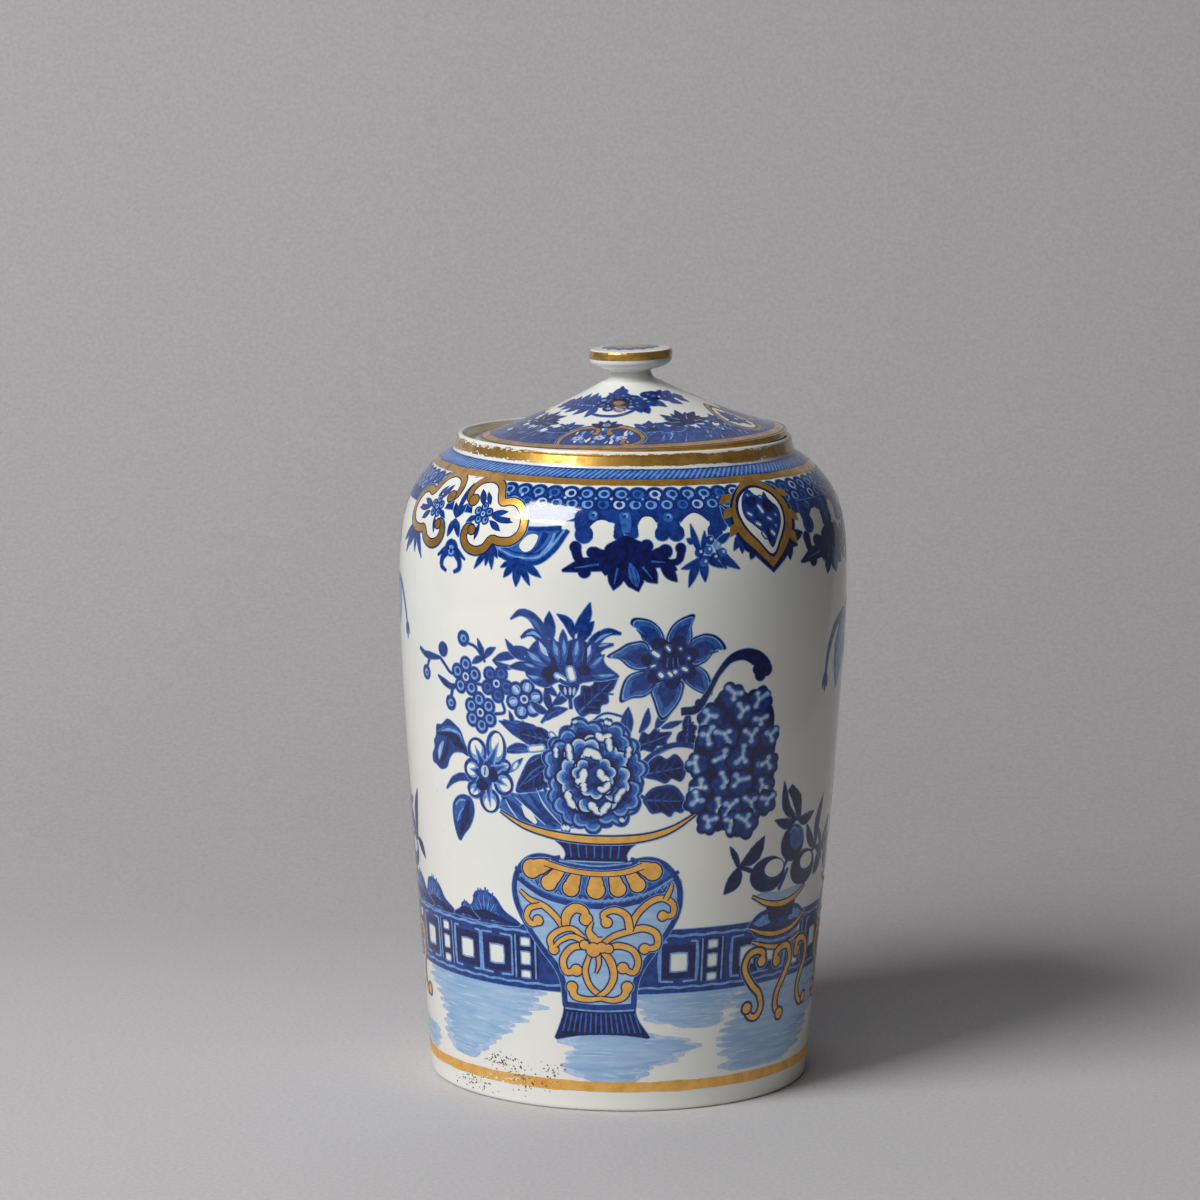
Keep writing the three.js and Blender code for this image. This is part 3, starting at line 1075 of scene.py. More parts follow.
def bush(middle, wide, high, twigs):
    """A mound of short twigs that fan out of the fence."""
    wall.layer()
    foot = FENCE_HIGH - 0.4
    stretch = wide * wall.spread(foot) / 2 / high
    blob(DEEP, [(middle + wide * across, foot + high * up) for across, up in MOUND])
    for index in range(twigs):
        angle = math.pi * (index + 0.5) / twigs
        reach = high * (0.7 + 0.34 * math.sin(angle) ** 2) * (1, 0.86, 0.96)[index % 3]
        across, up = math.cos(angle) * reach * stretch, math.sin(angle) * reach
        tip = off((middle, foot), across * 0.7, up)
        root = off((middle, foot), across * 0.3, up * 0.42)
        near_tip = (root[0] * 0.08 + tip[0] * 0.92, root[1] * 0.08 + tip[1] * 0.92)
        tone, width = ((MID, 0.6), (LIGHT, 0.3), (MID, 0.45))[index % 3]
        leaf(DEEP, root, tip, 0.75)
        leaf(tone, root, near_tip, width)
    stroke(DARK, [
        (middle - wide / 2, foot + 0.2), (middle, foot + 1.3), (middle + wide / 2, foot + 0.1),
    ], (0.3, 1.8, 0.3))


# %% [markdown]
# ### The vase
# The vase is the richest part: a pale body with a dark outline, gilt gadroons on its shoulder, and gilt
# leaf scrolls that start from a flower in the middle. Every gilt stroke lies on a slightly wider dark
# one, because the printed outline was gilded over by hand.
# %% Vase: body, shoulder and foot
def vase_body():
    """The body with its outline, the striped foot and the neck."""
    wall.layer()
    left = [
        (-17.5, 48.9), (-22, 49.2), (-26, 48), (-29, 45), (-29.6, 41.5), (-28, 38), (-25, 34.5),
        (-21.2, 31), (-17.6, 28), (-15.8, 25), (-15.3, 20.6),
    ]
    right = [
        (4, 20.6), (4.4, 25), (5.9, 28), (8.8, 31), (12.2, 34.3), (15.2, 38), (16.2, 41.5), (15.3, 45),
        (12, 48), (8, 49.2), (3.5, 48.9),
    ]
    outline = eased(left) + eased(right)
    fill(WASH, outline)
    shoulder = eased([(-29, 44.6), (-20, 41.6), (-6.5, 40.2), (6, 41.6), (15.4, 44.9)])
    above = eased([(15.3, 45), (12, 48), (8, 49.2), (3.5, 48.6)])
    fill(MID, shoulder + above + eased([(-17.5, 48.6), (-22, 49.2), (-26, 48), (-29, 45)]))
    for lift, tone, width in ((0, DEEP, 1), (1.05, LIGHT, 0.35), (1.7, DEEP, 0.6)):
        arc = [
            (-29.2, 44.8 + lift), (-20, 41.4 + lift), (-6.5, 40.1 + lift), (6, 41.4 + lift),
            (15.6, 45 + lift),
        ]
        stroke(tone, arc, (width,))
    for index in range(26):
        share = index / 25
        x = -28 + 43 * share
        low = 40.9 + 3.9 * (2 * share - 1) ** 2
        stroke(LIGHT, [(x, low - 0.1), (x + 0.8, low + 0.75)], (0.22,))
        stroke(LIGHT, [(x + 0.8, low + 0.75), (x + 1.6, low - 0.1)], (0.22,))
    stroke(DEEP, left, (0.9, 1, 1.1, 1, 1.2, 1))
    stroke(DEEP, right, (1, 1.2, 1, 1.1, 1, 0.9))
    stroke(LIGHT, [(-27.9, 44), (-28.6, 41.5), (-27.2, 38.4), (-24.3, 35)], (0.1, 0.3, 0.1))
    stroke(LIGHT, [(14.2, 44), (15.1, 41.5), (14.1, 38.4), (11.3, 35)], (0.1, 0.3, 0.1))


def striped(outline, stripes, tone=MID):
    """A dark shape with fine lighter stripes, as the engraver hatched it."""
    fill(DARK, outline)
    for points, width in stripes:
        stroke(tone, points, (width,))


def vase_neck_and_foot():
    """The hatched neck under the flowers, its collar, and the flared foot."""
    neck = (eased([(-17.8, 52.6), (-15.6, 51.4), (-14.6, 50), (-15.2, 48.8)])
        + eased([(2, 48.8), (1.6, 50), (2.6, 51.4), (4.6, 52.6)]))
    striped(neck, [([(-13.5 + 2.2 * i, 52.2), (-13 + 2.05 * i, 49.4)], 0.28) for i in range(7)])
    stroke(DEEP, [(-17.4, 49.4), (-16, 48.1), (-6.5, 47.4), (2.5, 48.1), (4, 49.4)], (1.7,))
    stroke(LIGHT, [(-16.4, 48.6), (-6.5, 47.9), (3, 48.6)], (0.35,))
    foot = (eased([(-15.6, 21), (-16.2, 18.4), (-18.6, 14.2)])
        + eased([(-18, 13.9), (-12, 14.8), (-5, 15.2), (2, 15.1), (8.3, 14.5)])
        + eased([(8.9, 14.7), (5.2, 18.4), (4.4, 21)]))
    striped(foot, [([(-14.6 + 1.35 * i, 19.4), (-16.2 + 1.6 * i, 15.6)], 0.3) for i in range(15)])
    stroke(DEEP, [(-15.8, 20.9), (-5.5, 20.5), (4.6, 20.9)], (1.1,))
    stroke(LIGHT, [(-15.4, 20.1), (-5.5, 19.8), (4.2, 20.1)], (0.35,))


# %% Vase: gilding
def vase_gilding():
    """The dish's gilt edge, the gadroons and the leaf scrolls."""
    rim = [(-33.2, 57), (-26, 54.7), (-16, 53.3), (-6, 52.9), (5, 53.3), (13, 54.8), (19.8, 57.6)]
    gilt(rim, (0.1, 0.9, 1.35, 1.45, 1.4, 1, 0.1), edge=0.6)
    for root, tip, width in (
        ((-18.5, 48), (-24.3, 46.6), 3.5), ((-15.5, 47.2), (-19.4, 44.2), 2.9),
        ((-11.5, 46.6), (-13.3, 43.4), 3), ((-6.5, 46.4), (-6.5, 43.3), 3.3),
        ((-2, 46.5), (-0.6, 43.6), 2.9), ((2, 47), (4.6, 44.4), 2.8), ((4.5, 48.1), (8.6, 46.9), 3.3),
    ):
        gilt([root, tip], (1.6, width * 0.9, width), width, 0.6)
    gilt([(-20.5, 48), (-14, 46.9), (-6.5, 46.4), (1, 46.8), (6, 48)], (1.2, 1, 1, 1, 1.2), None, 0.4)
    for points, widths, *ball in (
        ([(-28, 42.2), (-25, 40.6), (-21, 39.6), (-17.5, 37.6), (-14.8, 35)], (0.4, 1, 1.2, 1.2, 1.3)),
        ([(-22, 39.7), (-25.2, 38.9), (-26.2, 37), (-24.4, 35.9), (-22.8, 36.7)], (1, 1.1, 1.2, 1.1), 1.9),
        ([(-14.9, 35.2), (-14.6, 38), (-12.4, 39.6), (-9.8, 39.2), (-9.2, 37.6)], (1.3, 2, 1.9, 1.4), 2.3),
        ([(-10, 34.1), (-13, 35.6), (-16.8, 35), (-19.4, 33.2), (-18.4, 31.4)], (0.8, 1, 1.2, 1.2), 1.9),
        ([(-9, 33), (-13, 34.1), (-16.3, 33.2), (-18, 32)], (1, 1.1, 0.9, 0.7)),
        ([(-8.5, 32.5), (-13, 32), (-15.7, 29.6), (-14.9, 27.2), (-12, 27.6)], (1.2, 1.3, 1.3, 1.2), 2.1),
        ([(-5, 32.6), (-2, 34.3), (2, 35.3), (6.5, 36), (10, 34.8), (10.1, 32.4), (6.8, 32)],
         (0.9, 1.1, 1.2, 1.3, 1.3, 1.3, 1.1), 1.9),
        ([(2.5, 35.6), (4.5, 38.6), (8, 41), (11.5, 41.7), (14.4, 40.4), (14.2, 38.4), (11.6, 38.3)],
         (1.4, 1.2, 1.2, 1.2, 1.2, 1.2, 1), 1.8),
        ([(12.2, 41.4), (13.3, 43), (13.9, 44.4)], (0.9, 0.9, 0.4)),
        ([(2.7, 35.8), (1.7, 38.4), (-1.5, 39.5), (-4.5, 38.6), (-3.6, 37.1)], (1.5, 1.4, 1.2, 1.1), 1.9),
        ([(-3.5, 32.2), (0, 32.6), (3.6, 31.7), (5.1, 29.5), (3.9, 27.4), (0.9, 28.3)],
         (1.1, 1.2, 1.2, 1.2, 1.2, 1), 2),
        ([(-8.4, 30.5), (-9.5, 27.5), (-8.1, 24.6), (-4.8, 22.6)], (0.8, 1.1, 1, 1)),
        ([(-4.6, 31.5), (-2.4, 29.4), (-1.6, 26.6), (-3.2, 24.1), (-6.2, 22.4)],
         (1.2, 1.5, 1.3, 1.1, 0.9)),
        ([(-5.2, 22.3), (-9, 22), (-12.4, 22.5), (-13.3, 24.3)], (0.8, 1, 1.3, 1.6), 2),
        ([(-5.2, 22.3), (-1.5, 22), (1.3, 22.8), (2.2, 24.6)], (0.8, 1, 1.3, 1.6), 2),
        ([(-6, 31.4), (-5.7, 29), (-6.5, 27.2)], (1, 0.8, 0.2)),
        ([(-7.4, 37.1), (-8.4, 35.2), (-6.6, 33.6), (-4.6, 34)], (0.2, 1.2, 1.9, 0.4)),
    ):
        gilt(points, widths, *ball, edge=0.5)
    balls = (((-7.2, 31.7), 2.6), ((-9.7, 32.6), 1.7), ((-4.9, 32.2), 1.9), ((-3.1, 32), 1.7))
    dots(wall, balls, (DARK, 0.5), (GOLD, 0))


# %% [markdown]
# ### Flowers
# The engraver had a way for each flower, and each becomes a function. A narrow petal is a dark leaf with
# a mid blue inside and a light streak near its tip. A small blossom has a ring in every petal. A floret
# of the ball is five dark lobes round a pale gap with three arms. Spots that the engraver left open are
# white marks with a light edge.
# %% Petals, frills and blossoms
def streaked(root, tip, width, bow=0, edge=DEEP, core=LIGHT):
    """A narrow petal: dark at its edge, mid blue inside, with a light streak towards its tip."""
    def between(share):
        """The place that lies this share of the way from the root to the tip."""
        return tuple(a + (b - a) * share for a, b in zip(root, tip))

    leaf(edge, root, tip, width, bow)
    leaf(MID, between(0.2), between(0.95), width * 0.68, bow)
    leaf(core, between(0.42), between(0.9), width * 0.36, bow)


def white_mark(points, width=1, rim=LIGHT):
    """A rounded white spot left open in the print, with a light edge."""
    for tone, extra in ((rim, 0.7), (BARE, 0)):
        if len(points) > 1:
            stroke(tone, points, (width + extra,), eased=False)
        for point in points:
            dot(tone, point, width + extra, 1, 10)


def blossom(place, size, petals=5, turn=90, tone=LIGHT, core=DEEP):
    """A small round blossom: a ring in every petal and one in the heart."""
    angles = [math.radians(turn + 360 / petals * index) for index in range(petals)]
    spots = [off(place, math.cos(a) * size * 0.31, math.sin(a) * size * 0.31) for a in angles]
    for spot in spots:
        dot(DEEP, spot, size * 0.4)
    dot(DEEP, place, size * 0.5)
    for index, spot in enumerate(spots):
        dot(tone, spot, size * 0.25)
        dot(core, off(spot, 0.1 * (index % 2), 0.1), size * 0.15)
    dot(PALE, place, size * 0.22)
    dot(DEEP, place, size * 0.12)


def floret(place, size, turn):
    """One floret of the ball: dark lobes round a pale, ragged gap with three arms."""
    outline = lumpy(place, size, size, 5, 0.13, turn)
    for tone, share in ((DARK, 1), (DEEP, 0.8)):
        fill(tone, scaled(outline, place, share))
    heart = off(place, size * 0.12 * math.cos(turn), size * 0.1)
    tips = []
    for arm in range(3):
        angle = 2.1 * arm + 1.3 * turn + 0.4 * math.sin(3 * turn + arm)
        reach = size * (0.27 + 0.09 * math.sin(2.3 * turn + 2 * arm))
        tips.append(off(heart, math.cos(angle) * reach, math.sin(angle) * reach))
    for tone, width, ball in ((MID, 1.4, 1.9), (LIGHT, 0.9, 1.35), (PALE, 0.5, 0.95)):
        for tip in tips:
            stroke(tone, [heart, tip], (width,), eased=False)
            dot(tone, tip, ball, 0.8, 9)
    dot(BARE, tips[0], 0.6, 0.8, 8)
    dot(BARE, heart, 0.5, 1.4, 8)


# %% [markdown]
# ### The bouquet
# The bouquet is built like a real one, from the back to the front: first the spray at the side and the
# leaves, then the lily, the star-shaped narcissus and the white flower, and last the peony and the round
# ball of florets in front. The peony is rings of fan-shaped petals, each pale along its frilled edge and
# dark at its root, with a few gaps left white.
# %% Bouquet: the spray on the left
def left_spray():
    """Buds, twigs, small round blossoms and the curled leaves at the left."""
    wall.layer()
    stroke(DEEP, [(-63.2, 85.3), (-60.5, 84.4), (-57, 84.3), (-53, 84.4)], (0.6, 1, 1.4, 1.1, 0.5))
    stroke(DEEP, [(-53, 84.4), (-51, 83.2), (-49, 82), (-46.5, 81.8)], (0.6, 0.5))
    stroke(DEEP, [(-59.4, 82), (-58.2, 83.6), (-56.8, 84.3)], (0.5, 0.7))
    stroke(DEEP, [(-54.2, 80.9), (-51.5, 79.9), (-48.5, 79.3), (-46, 80)], (0.4, 1.3, 1.2, 0.5))
    stroke(DEEP, [(-48.9, 77.5), (-48.2, 79.3)], (0.7,))
    stroke(DEEP, [(-42, 88.1), (-39.8, 87.7), (-38, 86.4), (-36.6, 85)], (0.45,))
    for place, size, inner in (
        ((-43.7, 88.9), 3, LIGHT), ((-51.7, 86.1), 2.8, DEEP), ((-59.9, 80.9), 2.8, LIGHT),
        ((-49.2, 76.2), 2.9, LIGHT),
    ):
        dot(DEEP, place, size)
        dot(inner, place, size * 0.52)
        dot(DEEP, off(place, 0.1, -0.1), size * 0.24)
    sprig(DEEP, (-36.8, 85.6), [(-38.9, 89.3, 1), (-33.2, 88, 1.1, 0.1), (-40.9, 84.4, 1.1, -0.1)], 1.25)
    sprig(DEEP, (-34.2, 85.5), [(-26, 87, 1.1, 0.06), (-27.5, 84.6, 0.8, -0.1)], 1.5)
    stroke(DEEP, [(-39.8, 80.7), (-37.2, 80.6)], (0.5,))
    stroke(DEEP, [(-31.8, 78.2), (-31, 76), (-34, 75.4)], (0.5,))
    blossom((-43.2, 81.7), 7.6, 5, 88)
    blossom((-33.2, 81.2), 7.2, 5, 60, MID)
    blossom((-38.6, 75.3), 7.8, 6, 95)
    blossom((-25.2, 78.8), 7.6, 6, 75, LIGHT, MID)
    for angle in range(15, 375, 60):
        turn = math.radians(angle)
        ray = [off((-25.2, 78.8), math.cos(turn) * reach, math.sin(turn) * reach) for reach in (1.7, 3.2)]
        stroke(PALE, ray, (0.5, 0.9, 0.3))
    blob(DEEP, [
        (-58.8, 63.9), (-58.9, 65.4), (-57.6, 66.8), (-57.8, 68), (-56.6, 69.2), (-56.1, 71.2),
        (-53.6, 71.6), (-51, 72.9), (-48.4, 72.3), (-46, 71.2), (-44.8, 69.4), (-43, 66.6), (-45.6, 67),
        (-48.8, 66.7), (-50.8, 65.4), (-52.2, 63.6), (-55, 62.9), (-57.2, 63.6),
    ])
    stroke(MID, [
        (-56, 70), (-52.6, 70.8), (-49, 71.2), (-46.4, 70.2), (-45.2, 68.8),
    ], (0.3, 1.1, 1.1, 0.3))
    stroke(LIGHT, [(-53.6, 70.4), (-50.6, 70.9), (-46.6, 70.6), (-45.6, 69.6)], (0.2, 0.6, 0.5, 0.2))
    stroke(DARK, [(-55.8, 69.6), (-51, 69.8), (-47.6, 69), (-44.2, 67.4)], (0.5, 0.9, 2.4, 0.4))
    stroke(DARK, [(-51, 69), (-52.4, 66.4), (-55.4, 63.8)], (0.6, 1.5, 0.5))
    stroke(LIGHT, [(-53.2, 68.4), (-55, 66.6), (-55.8, 64.6)], (0.5, 1.2, 1.3, 0.4))
    stroke(PALE, [(-54.6, 67.6), (-55.8, 65)], (0.4, 0.6, 0.3))
    stroke(DEEP, [(-52.9, 59.4), (-49.4, 61.5), (-45.4, 62.4), (-41.8, 61.9)], (0.3, 1.2, 1.5, 0.9))
    blob(DEEP, [
        (-48.5, 49.9), (-50.4, 53), (-50.4, 56.6), (-47.4, 58.7), (-43.2, 58.6), (-42.1, 56.2),
        (-43.6, 53.4), (-46.2, 51.4),
    ])
    blob(MID, [(-49.6, 53.6), (-49.6, 56.4), (-47.2, 58), (-45.2, 57.8), (-46.8, 54.6)])
    stroke(LIGHT, [(-49.4, 56.6), (-47.6, 57.7), (-45.2, 57.9)], (0.3, 0.5, 0.2))
    stroke(LIGHT, [(-48.9, 53.4), (-47.8, 55.2), (-46, 56.4)], (0.2, 0.4, 0.1))
    stroke(DARK, [(-43.8, 58), (-45.4, 55.2), (-47.8, 51)], (0.5, 2.2, 0.6))
    stroke(DEEP, [(-43.4, 61.6), (-43.2, 59.2), (-39.4, 58.9)], (0.5,))


def white_flower():
    """The open white flower, whose petals are only an outline and a little shading at the root."""
    wall.layer()
    heart = (-37.4, 63.8)
    rings = (
        ((-40.2, 67.9), 4, 4.2), ((-33.9, 68.9), 3.8, 5.9), ((-31.6, 65.6), 2.4, 2.2),
        ((-32, 62.3), 3.6, 3.9), ((-36.6, 58.7), 3.9, 3.9), ((-41.4, 60.4), 3.2, 2.6),
        ((-42, 64.1), 3.6, 3.6),
    )
    for centre, wide, high in rings:
        dot(DEEP, centre, wide + 0.75, (high + 0.75) / (wide + 0.75))
    for centre, wide, high in rings:
        dot(LIGHT, centre, wide - 0.55, (high - 0.55) / (wide - 0.55))
        outward = (centre[0] + (centre[0] - heart[0]) * 0.1, centre[1] + (centre[1] - heart[1]) * 0.13)
        dot(BARE, outward, wide - 1.15, (high - 1.3) / (wide - 1.15))
        for tone, thick, reach in ((LIGHT, 3.4, 1.25), (MID, 2.6, 1.05), (DEEP, 1.7, 0.85)):
            far = (heart[0] + (centre[0] - heart[0]) * reach, heart[1] + (centre[1] - heart[1]) * reach)
            stroke(tone, [heart, far], (thick, thick * 0.55, 0.1), eased=False)
    fill(DEEP, lumpy(heart, 4.6, 4.4, 7, 0.14))
    dot(DARK, (-39, 61.5), 2.9, 0.8)
    dot(DARK, (-35.2, 63.6), 2.5)
    dot(PALE, (-37.8, 64.2), 1.9, 1.25)
    stroke(DEEP, [(-38, 63.4), (-37.6, 65)], (0.3,))


# %% Bouquet: lily and narcissus
def lily():
    """The spiky lily at the top of the bouquet."""
    wall.layer()
    leaves(DEEP, (
        ((-24, 86), (-30.3, 89.8), 1.6, 0.1), ((-22, 87), (-29.2, 88.2), 1.7, -0.05),
        ((-20, 84.6), (-29.6, 84.6), 1.9, -0.06), ((-12.4, 91.4), (-8, 97.6), 2.2, -0.08),
        ((-17.6, 90), (-18.3, 95.6), 2.3, 0.04), ((-12, 90.6), (-16.4, 95.2), 1.8, -0.16),
        ((-11, 89.6), (-7, 94.1), 2.3, 0.06), ((-9, 88), (-5.6, 92.4), 1.7, 0),
        ((-14.6, 88), (-14.8, 92.4), 1.7, 0), ((-18.6, 88.6), (-21, 92), 1.8, 0.1),
    ), 0.55)
    stroke(DEEP, [
        (-19.4, 89.4), (-20.6, 92.2), (-23, 94.4), (-26, 95), (-28.8, 93.6),
    ], (1.9, 2.2, 1.7, 1.2, 0.2))
    stroke(MID, [(-20.2, 91), (-21.8, 93.2), (-24.4, 94.3)], (0.3, 0.8, 0.1))
    stroke(DEEP, [(-18.6, 88.6), (-21.4, 91), (-23.6, 91.4), (-25.9, 90.3)], (1.4, 1.8, 1.3, 0.4))
    stroke(LIGHT, [(-20.4, 90.5), (-22.4, 91.4), (-24.4, 91)], (0.2, 0.7, 0.2))
    stroke(DEEP, [(-8, 88), (-5.8, 91), (-3.4, 92.2), (-0.4, 91.9)], (1, 1.6, 1.5, 0.4))
    stroke(LIGHT, [(-6.8, 90.2), (-4.8, 91.4), (-2.6, 92)], (0.2, 0.6, 0.1))
    stroke(DEEP, [(-9, 86.6), (-5.6, 89.2), (-2.2, 89.9)], (1.2, 1.5, 0.4))
    stroke(LIGHT, [(-5.8, 89.5), (-3.2, 90)], (0.3, 0.5, 0.1))
    blob(DEEP, [
        (-24.8, 84), (-22.6, 82), (-19, 81.4), (-15.8, 82.6), (-10.4, 82.6), (-7, 83), (-2.8, 83.4),
        (-0.8, 84), (-4, 86), (-5.4, 88.2), (-8.4, 90), (-11.2, 90.8), (-13.6, 90.2), (-16, 90),
        (-19, 90.4), (-21.6, 90), (-23.6, 88.4), (-24.8, 86.4),
    ])
    for root, tip, width, bow, core in (
        ((-17, 84.6), (-24.8, 88.2), 2.5, 0.06, LIGHT), ((-16.6, 85), (-21.4, 90.4), 2.8, 0.05, PALE),
        ((-15.4, 85), (-17.4, 90.8), 2.2, 0, LIGHT), ((-14.2, 85.4), (-14.6, 91), 1.8, 0, LIGHT),
        ((-12, 85.2), (-11, 91), 2, 0, LIGHT), ((-10.4, 85), (-7.6, 90.2), 2.5, -0.04, PALE),
        ((-9.6, 84.4), (-4.4, 88), 1.9, -0.04, LIGHT), ((-9, 83.9), (-1.2, 84.3), 1.6, -0.05, LIGHT),
        ((-19.6, 84.6), (-25.6, 85.6), 1.2, 0, LIGHT), ((-18.6, 83), (-24.6, 83.4), 1.5, 0.08, LIGHT),
    ):
        streaked(root, tip, width, bow, DEEP, core)
    for points, widths in (
        ([(-17, 83), (-18.6, 83.8), (-20.4, 83.6)], (2.4, 3.6, 1)),
        ([(-16.8, 84.4), (-17.4, 86.6), (-18.8, 88)], (1.6, 1, 0.2)),
        ([(-8, 84.6), (-9.6, 85), (-10.8, 84.6)], (1.4, 2.2, 1.4)),
        ([(-13.2, 85.8), (-13, 88.4), (-12.8, 90)], (1.3, 0.8, 0.2)),
        ([(-9.4, 86), (-9, 88.6), (-9.3, 90)], (0.8, 0.6, 0.2)),
    ):
        stroke(DARK, points, widths)
    white_mark([(-13, 84.9), (-12.5, 83.5)], 1.1)
    white_mark([(-16.4, 83.7), (-14.6, 83)], 0.6)
    stroke(DEEP, [(-15.8, 83), (-13.4, 82.2), (-10.2, 82.8)], (0.7,))
    blob(DEEP, [(-15.9, 82), (-15, 80.3), (-12.8, 79.4), (-11, 81.4), (-10.8, 82.4), (-13.4, 81.8)])
    for x in (-14.4, -13, -11.9):
        stroke(PALE, [(x, 81.6), (x * 0.8 - 2.6, 80.2)], (0.3, 0.55, 0.2))
    stroke(DEEP, [(-13, 79.8), (-12.8, 77.6)], (0.6,))


NARCISSUS_PETALS = (
    ((5.4, 90.6), (4, 92.6), (2, 93.7), (2.8, 94.8), (6.6, 94.4), (9.4, 92.6), (10.2, 90)),
    ((11, 90.2), (11.8, 92.8), (14.2, 94.5), (17.8, 95.3), (17.1, 93.2), (17.3, 91), (16.2, 89.6)),
    ((16.6, 90), (19.8, 91.5), (23, 91.3), (25.4, 90), (26.4, 88.5), (23.8, 88.6), (21, 86.4),
     (17.4, 85.8)),
    ((16.6, 86), (20, 85.3), (22.2, 83.4), (22.9, 80.1), (20, 80.6), (16.8, 82), (14.6, 84)),
    ((7.4, 82), (8, 79), (10, 75.7), (13, 77.6), (15, 80.2), (14.8, 83)),
    ((6.8, 84.8), (2.4, 84.5), (0.2, 82.6), (-0.5, 79.2), (2.4, 79.9), (5.6, 80.2), (8, 82)),
    ((6, 90.2), (1.8, 90.2), (-0.8, 89.1), (-3.8, 87.6), (-0.8, 87.2), (1.6, 85.7), (4.4, 85.1), (7, 86)),
)


def narcissus():
    """The star-shaped flower with a dark heart and a broken ring of white spots."""
    wall.layer()
    heart = Vector((12, 86.6))
    for points in NARCISSUS_PETALS:
        middle = sum((Vector(point) for point in points), Vector((0, 0))) / len(points)
        tones = ((DARK, 1), (LIGHT, 0.9), (MID, 0.83), (DEEP, 0.56))
        wall.shaded(points, tones, tuple(heart.lerp(middle, 0.8)))
        for point in points:
            vein = [tuple(heart.lerp(Vector(point), share)) for share in (0.2, 0.86)]
            stroke(DEEP, vein, (1.6, 0.8, 0.05))
    fill(DARK, lumpy(tuple(heart), 9.4, 8.8, 7, 0.2, 0.4))
    fill(DEEP, lumpy(tuple(heart), 6.6, 6.2, 9, 0.1))
    fill(DARK, lumpy((12.4, 87.2), 4.8, 4.4, 7, 0.1))
    for points, width in (
        ([(9.4, 84.3), (9.8, 84)], 0.9), ([(11.6, 84.5), (12.2, 84.1)], 0.7), ([(13.2, 84.7)], 0.9),
        ([(15.2, 85.3), (16, 85)], 0.7), ([(16.6, 87.2)], 0.5), ([(7.6, 88.4), (8.8, 87.8)], 0.8),
        ([(7.2, 85.8), (8, 86)], 0.4), ([(11, 89.4), (11.6, 88.8)], 0.5), ([(14.4, 89)], 0.5),
    ):
        white_mark(points, width * 0.85, MID)
    for x in (11, 12.6, 14):
        stroke(MID, [(x, 85.6), (x * 0.8 + 2.5, 87.4)], (0.35, 0.2))


# %% Bouquet: leaves
def broad_leaf(points, root, tip):
    """A broad dark leaf with a pale midrib and side veins."""
    wall.shaded(points, ((DEEP, 1), (DARK, 0.84)))
    stroke(MID, [root, tip], (0.5, 0.15), eased=False)
    along = (tip[0] - root[0], tip[1] - root[1])
    for share in (0.2, 0.42, 0.64):
        x, y = root[0] + along[0] * share, root[1] + along[1] * share
        for side in (-0.24, 0.24):
            across = x + along[0] * 0.2 - along[1] * side * 1.3
            up = y + along[1] * 0.2 + along[0] * side * 0.75
            stroke(DEEP, [(x, y), (across, up)], (0.5, 0.1), eased=False)


